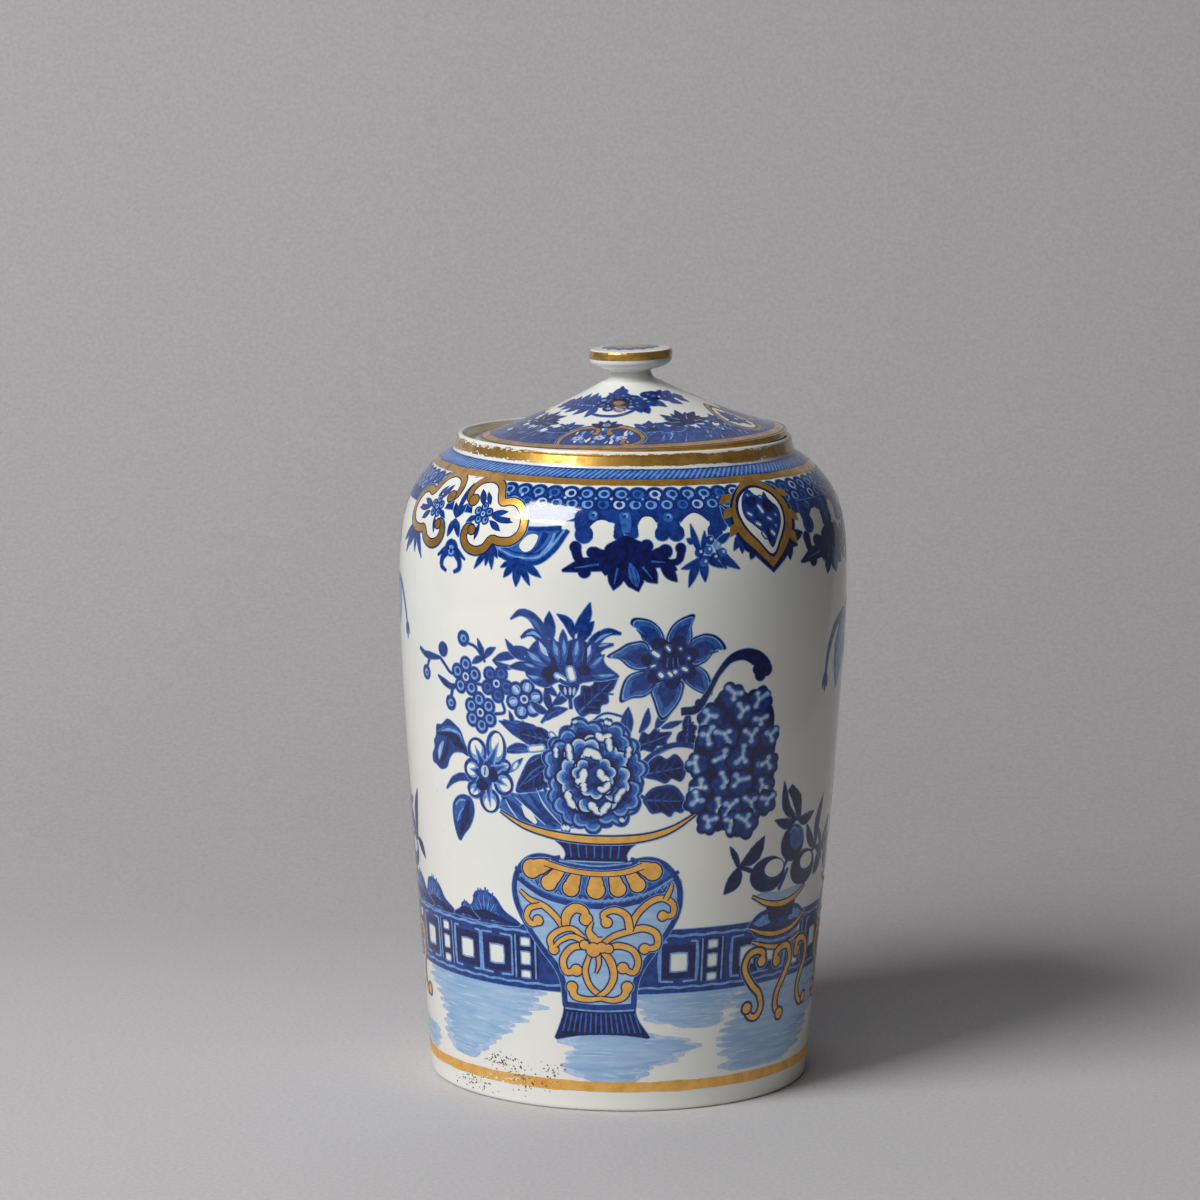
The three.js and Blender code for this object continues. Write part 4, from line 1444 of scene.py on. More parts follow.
def bouquet_leaves():
    """The dark leaves between the flowers, and the grasses over the dish."""
    wall.layer()
    for root, tip, width, bow in (
        ((-16, 69), (-32.8, 74.2), 4, -0.06), ((-17, 69.6), (-27.6, 61), 6, 0.05),
        ((-23, 69.2), (-31.6, 68.4), 2, -0.1), ((-20, 75), (-13.6, 77.6), 1.9, 0.12),
        ((-17.8, 76.8), (-19.4, 81.4), 1.6, 0.05), ((-30.2, 64.6), (-26, 67.6), 1.2, 0),
        ((1.6, 72.6), (1.6, 78.2), 2.3, 0.04), ((4.4, 73.4), (6.6, 78), 1.5, -0.1),
        ((10, 74.2), (15.4, 75.4), 1.2, 0), ((-28, 73), (-29.6, 76.4), 1, 0),
        ((8.4, 74), (12.6, 78), 1.7, 0.05), ((-14.8, 81.4), (-12, 84), 1.3, 0),
        ((-16.2, 79.8), (-20.4, 83), 1.5, 0.05), ((-17.2, 78.2), (-13.2, 80.2), 1.4, 0),
        ((-18.8, 76.6), (-23.6, 78.6), 1.6, 0.08),
    ):
        leaf(DEEP, root, tip, width, bow, MID if width > 1.8 else None)
    stroke(DEEP, [(-13.4, 83), (-16.4, 79.4), (-20.6, 74.6)], (0.4,))
    broad_leaf([
        (-28, 61), (-26.6, 64.4), (-23.4, 68), (-19, 68.4), (-17, 65.4), (-19, 62.6), (-22, 62),
    ], (-17.6, 67), (-26, 62.6))
    broad_leaf([
        (-27.6, 72.4), (-24, 73.6), (-19.6, 73.4), (-17.4, 70.8), (-20, 69.8), (-24.6, 70.6),
    ], (-18.4, 71.4), (-26.2, 72.2))
    for points in (
        [(-27.2, 62), (-23, 65.4), (-18.6, 67)], [(-31.4, 74.5), (-28, 74.2), (-25.4, 74.6)],
        [(-30, 69), (-26, 69), (-22.4, 69.3)], [(-24.6, 66.6), (-21.4, 68)],
    ):
        stroke(MID, points, (0.15, 0.4, 0.15))
    for points, width in (
        ([(-23.6, 69.5), (-20.6, 69.9)], 0.9), ([(-18, 72.6), (-16.4, 71.4), (-16, 69.6)], 0.6),
        ([(-28.6, 65.6), (-27.8, 66.4)], 0.5), ([(-19.4, 64), (-18.2, 64.6)], 0.6),
    ):
        white_mark(points, width)
    broad_leaf([
        (-11.6, 77.6), (-12, 79.4), (-10.4, 80.4), (-10, 82), (-7.6, 82), (-6.4, 83.2), (-3.6, 83),
        (-1.2, 83.9), (-2.2, 81.6), (-3.4, 80.8), (-3.4, 79), (-5.2, 78.4), (-5.6, 76.9), (-8, 76.9),
        (-10, 76.2),
    ], (-10.8, 77), (-2.6, 83))
    broad_leaf([
        (2, 69.6), (2.8, 71.8), (4.2, 71.8), (5.2, 73.6), (6.8, 73), (8.4, 74.2), (9.6, 73.4),
        (12.6, 73.4), (11.4, 71.8), (11.4, 70.8), (9, 70.9), (7.8, 69.6), (6, 70.2),
    ], (2.8, 70.4), (11.6, 72.8))
    broad_leaf([
        (14.2, 71.2), (14.2, 73), (15.6, 73.8), (15.4, 75.2), (17, 77), (17.8, 75), (19.2, 74.2),
        (18.6, 72.8), (19.8, 71.6), (17.4, 71),
    ], (16.6, 71.2), (16.9, 76))
    stroke(DEEP, [(2, 62.6), (4, 66), (8, 69.2), (13, 70.9), (18, 70.6), (22, 69)], (1.2, 1, 0.9, 0.8))
    stroke(LIGHT, [(3.6, 64.8), (7.6, 68.4), (12, 70.2)], (0.3,))
    stroke(DEEP, [(-8, 75), (-4, 77), (2, 76)], (0.3,))
    broad_leaf([
        (5.8, 65.2), (7, 67.8), (9.4, 69), (11.6, 68.3), (13.6, 69.2), (15.6, 67.8), (16.6, 65.8),
        (15.4, 64), (13, 64.6), (11.4, 63.7), (9, 64.4),
    ], (6.6, 65.6), (15.4, 66.6))
    broad_leaf([
        (5.6, 60.7), (7.6, 62.6), (10.2, 63.2), (13.2, 63.3), (15.4, 62), (16.8, 59.8), (16, 58),
        (14, 58.3), (12.8, 57.3), (10.6, 58.2), (8, 58), (6.6, 59.3),
    ], (6.4, 60.6), (15.6, 60.2))
    stroke(DEEP, [(4.6, 64.2), (6, 65.4)], (0.5,))
    stroke(DEEP, [(5, 61.4), (6.6, 60.8)], (0.6,))
    tuft = eased([(-33.5, 57.6), (-31.6, 60.6), (-27, 60.6), (-22, 61.4), (-17, 62)])
    fill(MID, tuft + [(-12, 55), (-20, 54.4), (-27, 55.6)])
    for points, widths, tone in (
        ([(-14, 55), (-20, 57.6), (-24.5, 61)], (0.5, 1.6, 0.3), DEEP),
        ([(-17, 55), (-22.6, 57.2), (-27.4, 60.4)], (0.5, 1.4, 0.3), DEEP),
        ([(-24, 55.4), (-28.6, 58), (-32.8, 60)], (0.4, 1.5, 0.3), DEEP),
        ([(-12.6, 55.4), (-17.4, 58.6), (-20.6, 63)], (0.4, 1.3, 0.3), DEEP),
        ([(-15.5, 55.4), (-20, 58.8), (-22.4, 62)], (0.1, 0.4, 0.1), PALE),
        ([(-20, 55.2), (-25, 58), (-28.6, 60)], (0.1, 0.4, 0.1), PALE),
        ([(-22.6, 55.4), (-25, 57.2), (-26.6, 58.6)], (0.6, 1.8, 0.4), BARE),
        ([(-27.6, 55.6), (-30, 57.6), (-31.6, 59.4)], (0.1, 0.4, 0.1), PALE),
    ):
        stroke(tone, points, widths)


# %% Bouquet: peony, ball of florets and tendril
PEONY_GAPS = (
    (((-6.4, 73.2), (-4.8, 72.2), (-2.6, 73)), 1.3), (((-3.4, 72.4), (-2.8, 69.8)), 1.1),
    (((-9.6, 69), (-7.8, 69.6), (-5.2, 68.4)), 1.7), (((-13.6, 71), (-13, 67.8)), 1.1),
    (((-11.8, 64.2), (-10.2, 64), (-9.4, 66.4)), 1.6), (((-9.8, 63.8), (-9.4, 62)), 1.1),
    (((-5.6, 66.4), (-4.9, 64.9), (-3, 64.4)), 1.4), (((-3, 64), (-4.4, 62.5), (-6, 62.9)), 1.1),
    (((-14, 62), (-13.4, 60.2), (-12, 58.8)), 1.3), (((-1.4, 60.2), (-0.4, 61.8), (1, 62.8)), 1),
    (((-8.2, 60), (-6.8, 58.9), (-5, 57.9)), 1.5), (((-5, 58), (-4, 59.2), (-2.8, 60)), 1.3),
    (((-0.4, 57), (0.9, 56.6)), 1.1), (((2, 70.8), (1.6, 68.6)), 0.8),
    (((-16.9, 70.2), (-16.8, 68.2)), 0.7), (((-15.6, 55), (-13.4, 54.9)), 1),
    (((-12.4, 75), (-11.2, 75.4)), 0.7), (((-4.4, 75.4), (-2.6, 75)), 0.7),
)
OUTER_PETAL = ((DEEP, 1), (LIGHT, 0.87), (MID, 0.77), (DEEP, 0.6), (DARK, 0.42))
INNER_PETAL = ((DARK, 1), (PALE, 0.88), (LIGHT, 0.78), (MID, 0.68), (DEEP, 0.52), (DARK, 0.34))


def frilled(root, turn, size, tones):
    """A fan-shaped petal, pale along its frilled edge and dark at its root."""
    fan = [root]
    for step in range(25):
        share = step / 24
        angle = math.radians(turn + 150 * (share - 0.5))
        reach = size * (0.8 + 0.2 * abs(math.sin(math.pi * 3 * share)))
        fan.append(off(root, math.cos(angle) * reach, math.sin(angle) * reach))
    for tone, share in tones:
        fill(tone, scaled(fan, root, share))


def peony():
    """A dark full flower: rings of frilled petals, and the gaps that stay white."""
    wall.layer()
    middle = (-7, 65.2)
    fill(DEEP, lumpy(middle, 16, 18, 13, 0.05))
    for count, across, up, size, start, tones in (
        (11, 5.2, 6.5, 5, 8, OUTER_PETAL), (7, 2.9, 3.6, 4.7, 30, INNER_PETAL),
        (4, 0.9, 1.3, 3.7, 10, INNER_PETAL),
    ):
        for index in range(count):
            turn = start + 360 / count * index + 9 * math.sin(2.3 * index)
            angle = math.radians(turn)
            place = off(middle, math.cos(angle) * across, math.sin(angle) * up)
            tilt, swell = 16 * math.sin(1.9 * index), 1 + 0.09 * math.sin(3.1 * index)
            frilled(place, turn + tilt, size * swell, tones)
    for points, width in PEONY_GAPS:
        for tone, more in ((DARK, 1.1), (LIGHT, 0.45), (BARE, 0)):
            stroke(tone, points, [width * share + more for share in (0.2, 1, 0.55, 0.9, 0.2)])


def floret_ball():
    """The round head made of many florets, and the tendril above it."""
    wall.layer()
    fill(DARK, lumpy((31, 67), 17.5, 26, 14, 0.03, 0, 0.12))
    places = [
        (28.5, 79), (36.6, 78.2), (24, 75.6), (31, 75.8), (38, 74.6), (22, 71.6), (28, 72), (34.4, 71.4),
        (40.6, 70.4), (20.4, 67.4), (26.4, 67.6), (32.6, 67), (38.6, 66), (42, 65.4), (20.6, 62.4),
        (26.8, 63), (33, 62.4), (39.4, 61.8), (20.4, 59.6), (25, 58.2), (30.8, 58.4), (36.4, 57.8),
        (41, 58.8), (23.8, 55.8), (30.2, 54.8), (35.4, 55.4),
    ]
    for index, (x, y) in enumerate(places):
        place = (x + 0.9 * math.sin(2.7 * index), y + 0.5 * math.cos(3.9 * index))
        floret(place, 5.1 + 0.7 * math.sin(1.3 * index), 1.7 * index)
    stroke(DARK, [
        (15, 77.2), (19, 77.6), (22, 80.6), (24.6, 84), (28, 86.6), (32.4, 87.2), (36.4, 85.9),
        (38.6, 84.2),
    ], (1.4, 1.5, 1, 0.9, 1.2, 1.9, 2.8, 3))
    ends = (((38.9, 84), 2.6), ((37, 83.2), 2.6), ((35.8, 84.2), 1.9), ((19.6, 78.6), 1.6))
    dots(wall, ends, (DARK, 0))


# %% [markdown]
# ### The stand with fruit
# A low table with curled gilt legs carries a dish of three fruits with their leaves.
# %% Stand and fruits
def fruit(place, wide, high, light_tone):
    """A round fruit with a dark shaded side."""
    dot(DARK, place, wide, high / wide)
    dot(light_tone, off(place, wide * 0.16, high * 0.12), wide * 0.62, high / wide)


def stand():
    """The table, its gilt legs and mouldings, and the fruit on it."""
    wall.layer()
    sprig(DARK, (54.6, 53.9), [
        (47.8, 61.9, 0.9, 0.18), (45, 54.6, 0.9, 0.12), (63.8, 54.4, 0.9, -0.12),
    ], 2.4)
    stroke(DARK, [(50.4, 60.4), (54, 57.6), (55.6, 53.8)], (1.6, 2.8, 1.2))
    sprig(DARK, (33.6, 46.8), [(41.6, 51.9, 1.2, -0.12), (29, 41.6, 1.2, 0.1), (30.2, 50.8, 0.5, 0)], 2.6)
    sprig(DARK, (67, 47), [(60, 52.3, 1, 0.1), (70.2, 57, 1.1, 0.1), (73.6, 43.8, 0.9, 0.1)], 2.3)
    stroke(DARK, [(31, 50), (33, 47), (36, 46), (38, 45.4)], (0.5, 0.8, 0.8))
    stroke(DARK, [(64, 46.4), (67, 47), (70, 46)], (0.7,))
    stroke(DEEP, [(50, 45), (52, 46.4), (56, 46.4)], (0.6,))
    fruit((53.6, 49.4), 7.4, 7, MID)
    stroke(LIGHT, [(51.6, 51.4), (53.6, 52.4), (55.6, 51.4)], (0.2, 0.5, 0.2))
    fruit((44, 44.3), 9.2, 6.8, DEEP)
    dot(BARE, (46.2, 45.3), 5.2, 0.66)
    fruit((60, 44), 9.2, 6.8, DEEP)
    dot(BARE, (61.6, 45.1), 5, 0.66)
    stroke(DEEP, [(48.6, 40.8), (50.6, 43), (52, 44.6)], (0.7,))
    dish = eased([(38.2, 40.4), (43, 38), (50, 37.2), (57, 38), (62.4, 40.4)])
    fill(WASH, dish + [(58, 40.8), (50, 40.4), (42, 40.9)])
    fill(DARK, [(44, 37.9), (45, 36.4), (44, 35.6), (57, 35.6), (56, 36.4), (57, 37.9)])
    lens = eased([(37.8, 34.8), (42, 37), (50, 37.6), (58, 37), (63, 34.9)])
    fill(DEEP, lens + eased([(63, 34.6), (57, 31), (50, 29.4), (43, 31), (37.8, 34.6)]))
    fill(LIGHT, eased([(39.4, 35), (43, 36.3), (46, 36.4)]) + [(46, 34.6), (42, 34.2)])
    fill(LIGHT, eased([(55.4, 36.4), (58, 36.2), (61.4, 35)]) + [(58, 34), (54, 34.4)])
    fill(DARK, [(44.6, 37.6), (45.4, 35.2), (56, 35.2), (56.6, 37.6)])
    stroke(LIGHT, [(41.4, 32), (46, 31.1), (50, 30.9), (55, 31.1), (59.4, 32.1)], (0.6,))
    stroke(DARK, [(42, 34), (50, 33.3), (58, 34.2)], (0.5,))
    gilt([(38.6, 40.4), (44, 38.7), (50, 38), (56, 38.6), (61.8, 40.4)], (0.2, 0.9, 1.1, 0.9, 0.2))
    gilt([(38.4, 34.2), (44, 32.8), (50, 32.3), (57, 33), (63.4, 35.4)], (0.3, 0.9, 0.9, 0.8, 0.3))
    gilt([(39.6, 31.5), (45, 30.2), (51, 29.6), (56, 30), (61, 31.2)], (0.3, 0.8, 0.9, 0.8, 0.3))
    for points in (
        [
            (39.3, 18.6), (40.4, 17), (43, 16.6), (44.8, 18.4), (43.6, 21), (40.4, 23.2), (37.6, 26.2),
            (38.6, 28.8), (41.6, 29.6), (44.2, 29), (43.9, 27.4),
        ],
        [
            (53.4, 16.1), (51.2, 17.6), (51.4, 20.4), (54.2, 23.4), (56.6, 26.4), (55.4, 29),
            (52.6, 29.4), (49.8, 28.4), (50.2, 26.8),
        ],
        [
            (68.2, 17.4), (65.2, 17), (63, 19), (63.2, 21.6), (66, 25), (66.4, 28), (63.4, 29.8),
            (60, 29.4), (60.4, 27.6),
        ],
    ):
        gilt(points, (1.2, 1.1, 1.2, 1.2, 1.2), 2, 0.9)
        dot(DARK, points[0], 2.9)
        dot(GOLD, points[0], 2)


# %% [markdown]
# ### The hanging spray
# Where one scene ends and the next begins, a stem droops with big leaves and a tassel at each end.
# %% Hanging spray between the scenes
def hanging_spray():
    """A drooping stem with big leaves and a tassel at each end, where the two scenes meet."""
    wall.layer()
    big_leaves = (
        ((80, 91.2), (73.4, 77), 7.5), ((87.6, 94.2), (85, 80.5), 6.4), ((98.6, 96.8), (98.4, 88), 5.4),
    )
    for root, tip, width in big_leaves:
        leaf(MID, root, tip, width, -0.08)
        leaf(LIGHT, off(root, 0.6, 0), off(tip, 0.5, 0.6), width - 1.6, -0.08)
    stroke(DEEP, [
        (64.4, 80.6), (66, 85.6), (70, 89.4), (75.6, 91), (81, 91.3), (88, 93.6), (95, 96.6), (101, 96),
        (105.4, 92.6), (107.8, 88.6),
    ], (0.8, 1.2, 1.5, 1.6, 1.6, 1.4, 1.4, 1.2, 0.9, 0.5))
    sprig(DEEP, (64.6, 81.6), [(63, 78, 1), (64.4, 77.2, 1), (65.9, 78.2, 1)], 1.1)
    sprig(DEEP, (107.6, 89.4), [(106.6, 86.8, 1), (108, 86, 1), (109.3, 87, 1)], 1.1)


# %% [markdown]
# ### The border
# The border under the neck has a ring ground, white arches, palmettes and swags, and over them two
# kinds of gilt cartouche: a pair of clouds and a pointed drop with barbs.
# %% Border: ring ground and arches
RINGS_UPPER = 38
RINGS_LOWER = 42


def ring_ground():
    """Two rows of dark scales with light rings on a dark ground."""
    wall.layer()
    wall.band(DEEP, 112.4, 117.2)
    for count, height, size in ((RINGS_LOWER, 115.8, 3.2), (RINGS_UPPER, 118.05, 3.5)):
        for index in range(count):
            place = (-95.5 + 180 / count * index, height)
            for tone, share in ((DEEP, 1), (DARK, 0.86), (DEEP, 0.8)):
                dot(tone, place, size * share, 0.93)
        for index in range(count):
            place = (-95.5 + 180 / count * index, height)
            dot((LIGHT, MID, PALE, LIGHT, LIGHT)[index % 5], place, 2.15, 0.86)
            dot(DEEP, off(place, 0.15 * (index % 3 - 1), 0), 1.2)
    for index in range(RINGS_LOWER):
        dot(LIGHT if index % 3 else PALE, (-93.4 + 180 / RINGS_LOWER * index, 117), 0.55)


def arch(left, right, foot, top, balls=(2.6, 2.6)):
    """A white arch in the dark border, with a ball-ended hook on each side."""
    middle = (left + right) / 2
    fill(BARE, eased([
        (left + 1.6, foot), (left + 1.2, foot + (top - foot) * 0.5), (middle - 1.2, top),
        (middle + 1.2, top), (right - 1.2, foot + (top - foot) * 0.5), (right - 1.6, foot),
    ]))
    for side, ball in zip((left, right), balls):
        stroke(DEEP, [(side, foot + 2.6), (side, foot + 0.8)], (1.4, 2))
        dot(DEEP, (side, foot + 0.4), ball)


def lambrequin(shift):
    """Three arches with the palmette that hangs between them, in the same print as the rings."""
    wall.origin = shift
    fill(DEEP, eased([
        (-12.4, 114.6), (-12.6, 112), (-11.6, 110.4), (-8, 111.4), (-5, 112.8), (-2, 112), (0.8, 110),
        (3, 111.6), (6.5, 113.4), (9.6, 112.4), (11.6, 110.6), (13.6, 112), (18.5, 114.2), (23, 112.6),
        (26, 110.4), (28, 112), (28, 114.6),
    ]))
    for left, right, foot, top, balls in (
        (-10, -1.2, 109.6, 112.6, (3.4, 1.9)), (2.4, 9.8, 109.9, 113.3, (2, 2.8)),
        (13.4, 23.8, 110, 113.8, (3.2, 3)),
    ):
        arch(left, right, foot, top, balls)
    stroke(MID, [(0.4, 114.4), (0.6, 112), (0.8, 110.4)], (1.4, 2.2, 1.4))
    for place in ((-8, 113.6), (0.2, 113.5), (11.6, 113.3)):
        dot(MID, place, 1.9)
        dot(LIGHT, off(place, 0.2, 0.2), 1)
        dot(DEEP, place, 0.7)
    blob(DARK, [
        (-4.6, 107.6), (-2, 109), (0.8, 110), (3.6, 109), (6.6, 108.2), (6, 106), (8, 104.6), (4, 103.6),
        (0, 103.8), (-4, 104.4),
    ])
    stroke(DARK, [(-1, 105.4), (-5, 104.6), (-9.6, 104.4), (-15.2, 103.2)], (2.6, 2.4, 2.6, 0.4))
    dot(DARK, (-9.6, 103.2), 2.4)
    stroke(DARK, [(-4, 106), (-6, 106.4), (-7.6, 106.9)], (2.2, 2, 2))
    dot(DARK, (-7.7, 106.7), 2.1)
    stroke(DARK, [(-8.6, 104.6), (-11, 105.4), (-12, 107.6)], (1.3, 1.6, 1.9))
    dot(DARK, (-12, 107.6), 2.2)
    stroke(DARK, [(4, 105.4), (8, 105.2), (11, 104.8), (13, 103.4)], (2.6, 2.4, 1.8, 0.8))
    stroke(DARK, [(6.4, 105.8), (9, 106.6), (10.6, 107)], (2.2, 2.2, 2.2))
    dot(DARK, (10.5, 107), 2.6)
    stroke(DARK, [(10, 104.9), (13.6, 105.2), (14.6, 107.2)], (1, 1.2, 1.6))
    dot(DARK, (14.4, 107.5), 2)
    dot(DARK, (5.8, 108), 2.4)
    leaves(DARK, (
        ((-1, 105), (-2.4, 99.9), 2.6), ((4, 105), (8.4, 101.2), 2.6), ((9, 105), (13.4, 101.4), 1.7),
        ((-3.6, 105), (-4.4, 102.6), 2),
    ), 0.6, 1.25)
    leaf(DARK, (1, 106), (3.8, 99.7), 4.2, 0, None, 0.62)
    leaf(MID, (1.6, 105), (3.6, 100.4), 2, 0, None, 0.6)
    for x in (2.4, 3.4):
        stroke(DEEP, [(x - 0.6, 104), (x + 0.4, 101)], (0.25, 0.2))
    for points in (
        [(-1.4, 104), (-2.2, 101)], [(4.8, 104.2), (7.2, 102)], [(-6, 104.6), (-12, 103.8)],
        [(7, 105.2), (10.4, 105)],
    ):
        stroke(MID, points, (0.45, 0.2))
    wall.origin = 0


def sprays(shift):
    """The loose spray to the right of the palmette."""
    wall.layer()
    wall.origin = shift
    sprig(DEEP, (20, 106), [
        (14.4, 103.7, 1, 0.1), (16.3, 100.3, 1.2, -0.05), (20.6, 101.2, 1.3, 0), (17.3, 112, 0.9, 0.05),
        (21, 110.6, 0.8, 0), (25.8, 103.6, 1.1, 0),
    ], 1.4)
    sprig(DEEP, (23.6, 108), [(26.4, 103.4, 1, 0), (30.2, 103.2, 1.3, -0.1), (28.4, 110, 1, 0)], 1.4)
    leaf(DEEP, (18, 108.4), (16, 109.2), 1.2)
    for place, tone in (
        ((21.6, 107), MID), ((23.2, 105.6), DEEP), ((20.4, 104.8), MID), ((24, 107.8), LIGHT),
        ((22.2, 108.8), DEEP), ((25.4, 106.4), MID), ((19.2, 106.6), DEEP),
    ):
        dot(tone, place, 1.7)
        dot(PALE, off(place, 0.3, 0.2), 0.6)
    wall.origin = 0


# %% Border: the barbed drop
def drop():
    """A pointed oval frame in gold with barbs, and a dark flower spray on white inside it."""
    wall.layer()
    outer = [
        (37, 120.2), (32.5, 117.4), (29.6, 113.4), (31, 109.4), (35.6, 106.2), (40.5, 103), (45, 106.2),
        (48.6, 110), (49.2, 114), (47, 117.8), (42.6, 120.2),
    ]
    dark = [
        (37, 120.2), (31.6, 117.4), (28.8, 113.4), (30.2, 108.8), (35, 105.4), (40.6, 102), (46, 105.2),
        (49.6, 109.6), (50.2, 114), (48, 118), (42.6, 120.2),
    ]
    sprig(DEEP, (31.6, 110), [
        (26.6, 115.2, 1.2, 0.1), (28.6, 106.6, 1, 0), (31, 106, 1.2, 0), (28.6, 111, 1.1, 0),
    ], 1.6)
    sprig(DARK, (35, 107), [(31.6, 107, 1.2, 0), (33.4, 104.8, 1, 0)], 1.6)
    sprig(DARK, (46.4, 108), [(46.6, 103.9, 1.2, 0), (49.8, 106.4, 1.3, 0), (52.6, 108.6, 1.2, 0)], 1.8)
    fill(DARK, eased(dark[:6]) + eased(dark[5:]))
    fill(BRIGHT, eased(outer[:6]) + eased(outer[5:]))
    for root, tip in (
        ((31.4, 117.4), (26.4, 115.6)), ((30.2, 114.6), (26.6, 112.6)), ((30.4, 111.6), (28, 109.2)),
        ((47.6, 117.6), (51.6, 116)), ((48.6, 113.4), (51.8, 111)), ((47.4, 109.6), (49.6, 106.8)),
    ):
        leaf(BRIGHT, root, tip, 1.8)
    inner = [
        (39, 118.8), (33.6, 117), (31.6, 114), (33, 110.8), (36.4, 108), (40.6, 105.2), (43.6, 108),
        (46, 111), (46.4, 114.4), (44, 117.4),
    ]
    for tone, wide, high in ((DARK, 1.08, 1.05), (BARE, 0.97, 0.96)):
        blob(tone, scaled(inner, (39.2, 112.4), wide, high))
    blob(DEEP, [
        (33, 114.4), (34.4, 116.8), (37.4, 118.3), (38.8, 117), (41, 116.6), (42.6, 117.4), (43.2, 115.6),
        (45.2, 114), (45, 111.4), (42.8, 108.6), (40.6, 106.6), (38.6, 109), (35.6, 111), (33.4, 112.4),
    ])
    for place, wide, high in (
        ((36.6, 115.6), 2.6, 2.4), ((42, 114.6), 2.4, 2.6), ((40.4, 109), 2, 2.2), ((37, 111.4), 2, 1.6),
    ):
        fill(DARK, lumpy(place, wide, high, 5, 0.12))
    for points, width in (
        ([(38.6, 114.6), (39.4, 113.4)], 0.7), ([(36.6, 111.4), (37.6, 111)], 0.6),
        ([(41, 109.6), (41.8, 109)], 0.7), ([(40.6, 112.2), (41.6, 111.8)], 0.4),
        ([(34.6, 113.4), (35.4, 113)], 0.5), ([(43.6, 112.6)], 0.5), ([(40.4, 116.4)], 0.4),
        ([(42.8, 110.6)], 0.4), ([(38, 109.4), (38.8, 108.6)], 0.4), ([(36.4, 117)], 0.4),
    ):
        white_mark(points, width * 0.75, MID)


# %% Border: clouds and swags
def cloud_half(mirror):
    """One of the two clouds that face each other, with a blossom inside."""
    def at(points):
        """The points on this cloud's side of the line between the two."""
        return [(-49.2 + (x + 49.2) * mirror, y) for x, y in points]

    contour = [
        (-44.6, 114.8), (-46.4, 115.4), (-46.6, 117.4), (-44.6, 119.2), (-40.6, 119.8), (-37, 118.6),
        (-35.2, 116), (-34.2, 115.1), (-31.6, 115.5), (-28.8, 114.9), (-26.6, 112.6), (-26.8, 109.8),
        (-29.4, 108), (-33, 107.7), (-35.4, 107.9), (-37.4, 106.2), (-40.4, 105.5), (-43.4, 106.2),
        (-44.8, 108), (-43.8, 109.6), (-42, 109.4),
    ]
    fill(BARE, eased(at(contour)))
    stroke(DARK, at(contour), (1.7, 1.95))
    blossom(at([(-39.6, 112.5)])[0], 4.6, 5, 90, LIGHT)
    for root, tip, width in (
        ((-40, 114), (-43, 117.4), 1.6), ((-38, 114.4), (-40.6, 117), 1.2),
        ((-37, 112.6), (-31.6, 113.4), 1.3), ((-36.4, 112), (-29.6, 111.4), 1.3),
        ((-37, 111.4), (-33, 109.6), 1.5), ((-41.4, 112), (-44.8, 110.6), 1.2),
        ((-40, 110.8), (-41, 107.4), 1.1),
    ):
        leaf(DEEP, at([root])[0], at([tip])[0], width)
    stroke(DEEP, at([(-37.6, 112.4), (-34, 112.2), (-30.6, 112)]), (0.4,))
    stroke(BRIGHT, at(contour), (1.22, 1.45))
    for ball, size in (((-44.4, 114.9), 2.2), ((-42.3, 109.3), 1.7)):
        dots(wall, ((at([ball])[0], size),), (DARK, 0.5), (BRIGHT, 0))


def clouds():
    """The pair of clouds, the small flower that hangs between them and the leaves below."""
    wall.layer()
    blob(BARE, [(-53, 119.4), (-49, 119.6), (-45, 119.4), (-47, 112), (-48.5, 107), (-51, 112)])
    sprig(DEEP, (-49, 111), [
        (-47.8, 118.6, 1, 0), (-46.4, 114, 1.1, 0), (-51, 114, 1.1, 0), (-46.6, 107.6, 1.2, 0),
        (-51, 107.4, 1.2, 0),
    ], 1.4)
    for tip, width in (
        ((-63, 103.6), 1.4), ((-62.4, 102.2), 1.4), ((-67, 103), 1.6), ((-70.6, 104), 1.6),
        ((-74, 102.4), 1.8), ((-76, 104.4), 1.6),
    ):
        leaf(DEEP, (-66.5, 108.4), tip, width, -0.05)
    for tip in ((-40.2, 102.2), (-38.8, 103.6), (-34.6, 102.4), (-33, 104.6), (-36.6, 103)):
        leaf(DEEP, (-36, 107.4), tip, 1.4, 0.05)
    dot(DEEP, (-48.8, 105.4), 3.6, 0.9)
    dot(LIGHT, (-48.8, 105), 1.9)
    dot(DEEP, (-48.8, 104.9), 0.9)
    for side in (-1, 1):
        stroke(DEEP, [
            (-48.8 + side * 1.2, 104.6), (-48.8 + side * 3.2, 103.4), (-48.8 + side * 3.4, 101.8),
            (-48.8 + side * 1.4, 101),
        ], (1, 1.2, 1, 0.5))
        stroke(DEEP, [(-48.8 + side, 105.6), (-48.8 + side * 5.4, 103.6)], (1.2, 0.9, 0.3))
    for side in (-1, 1):
        cloud_half(side)


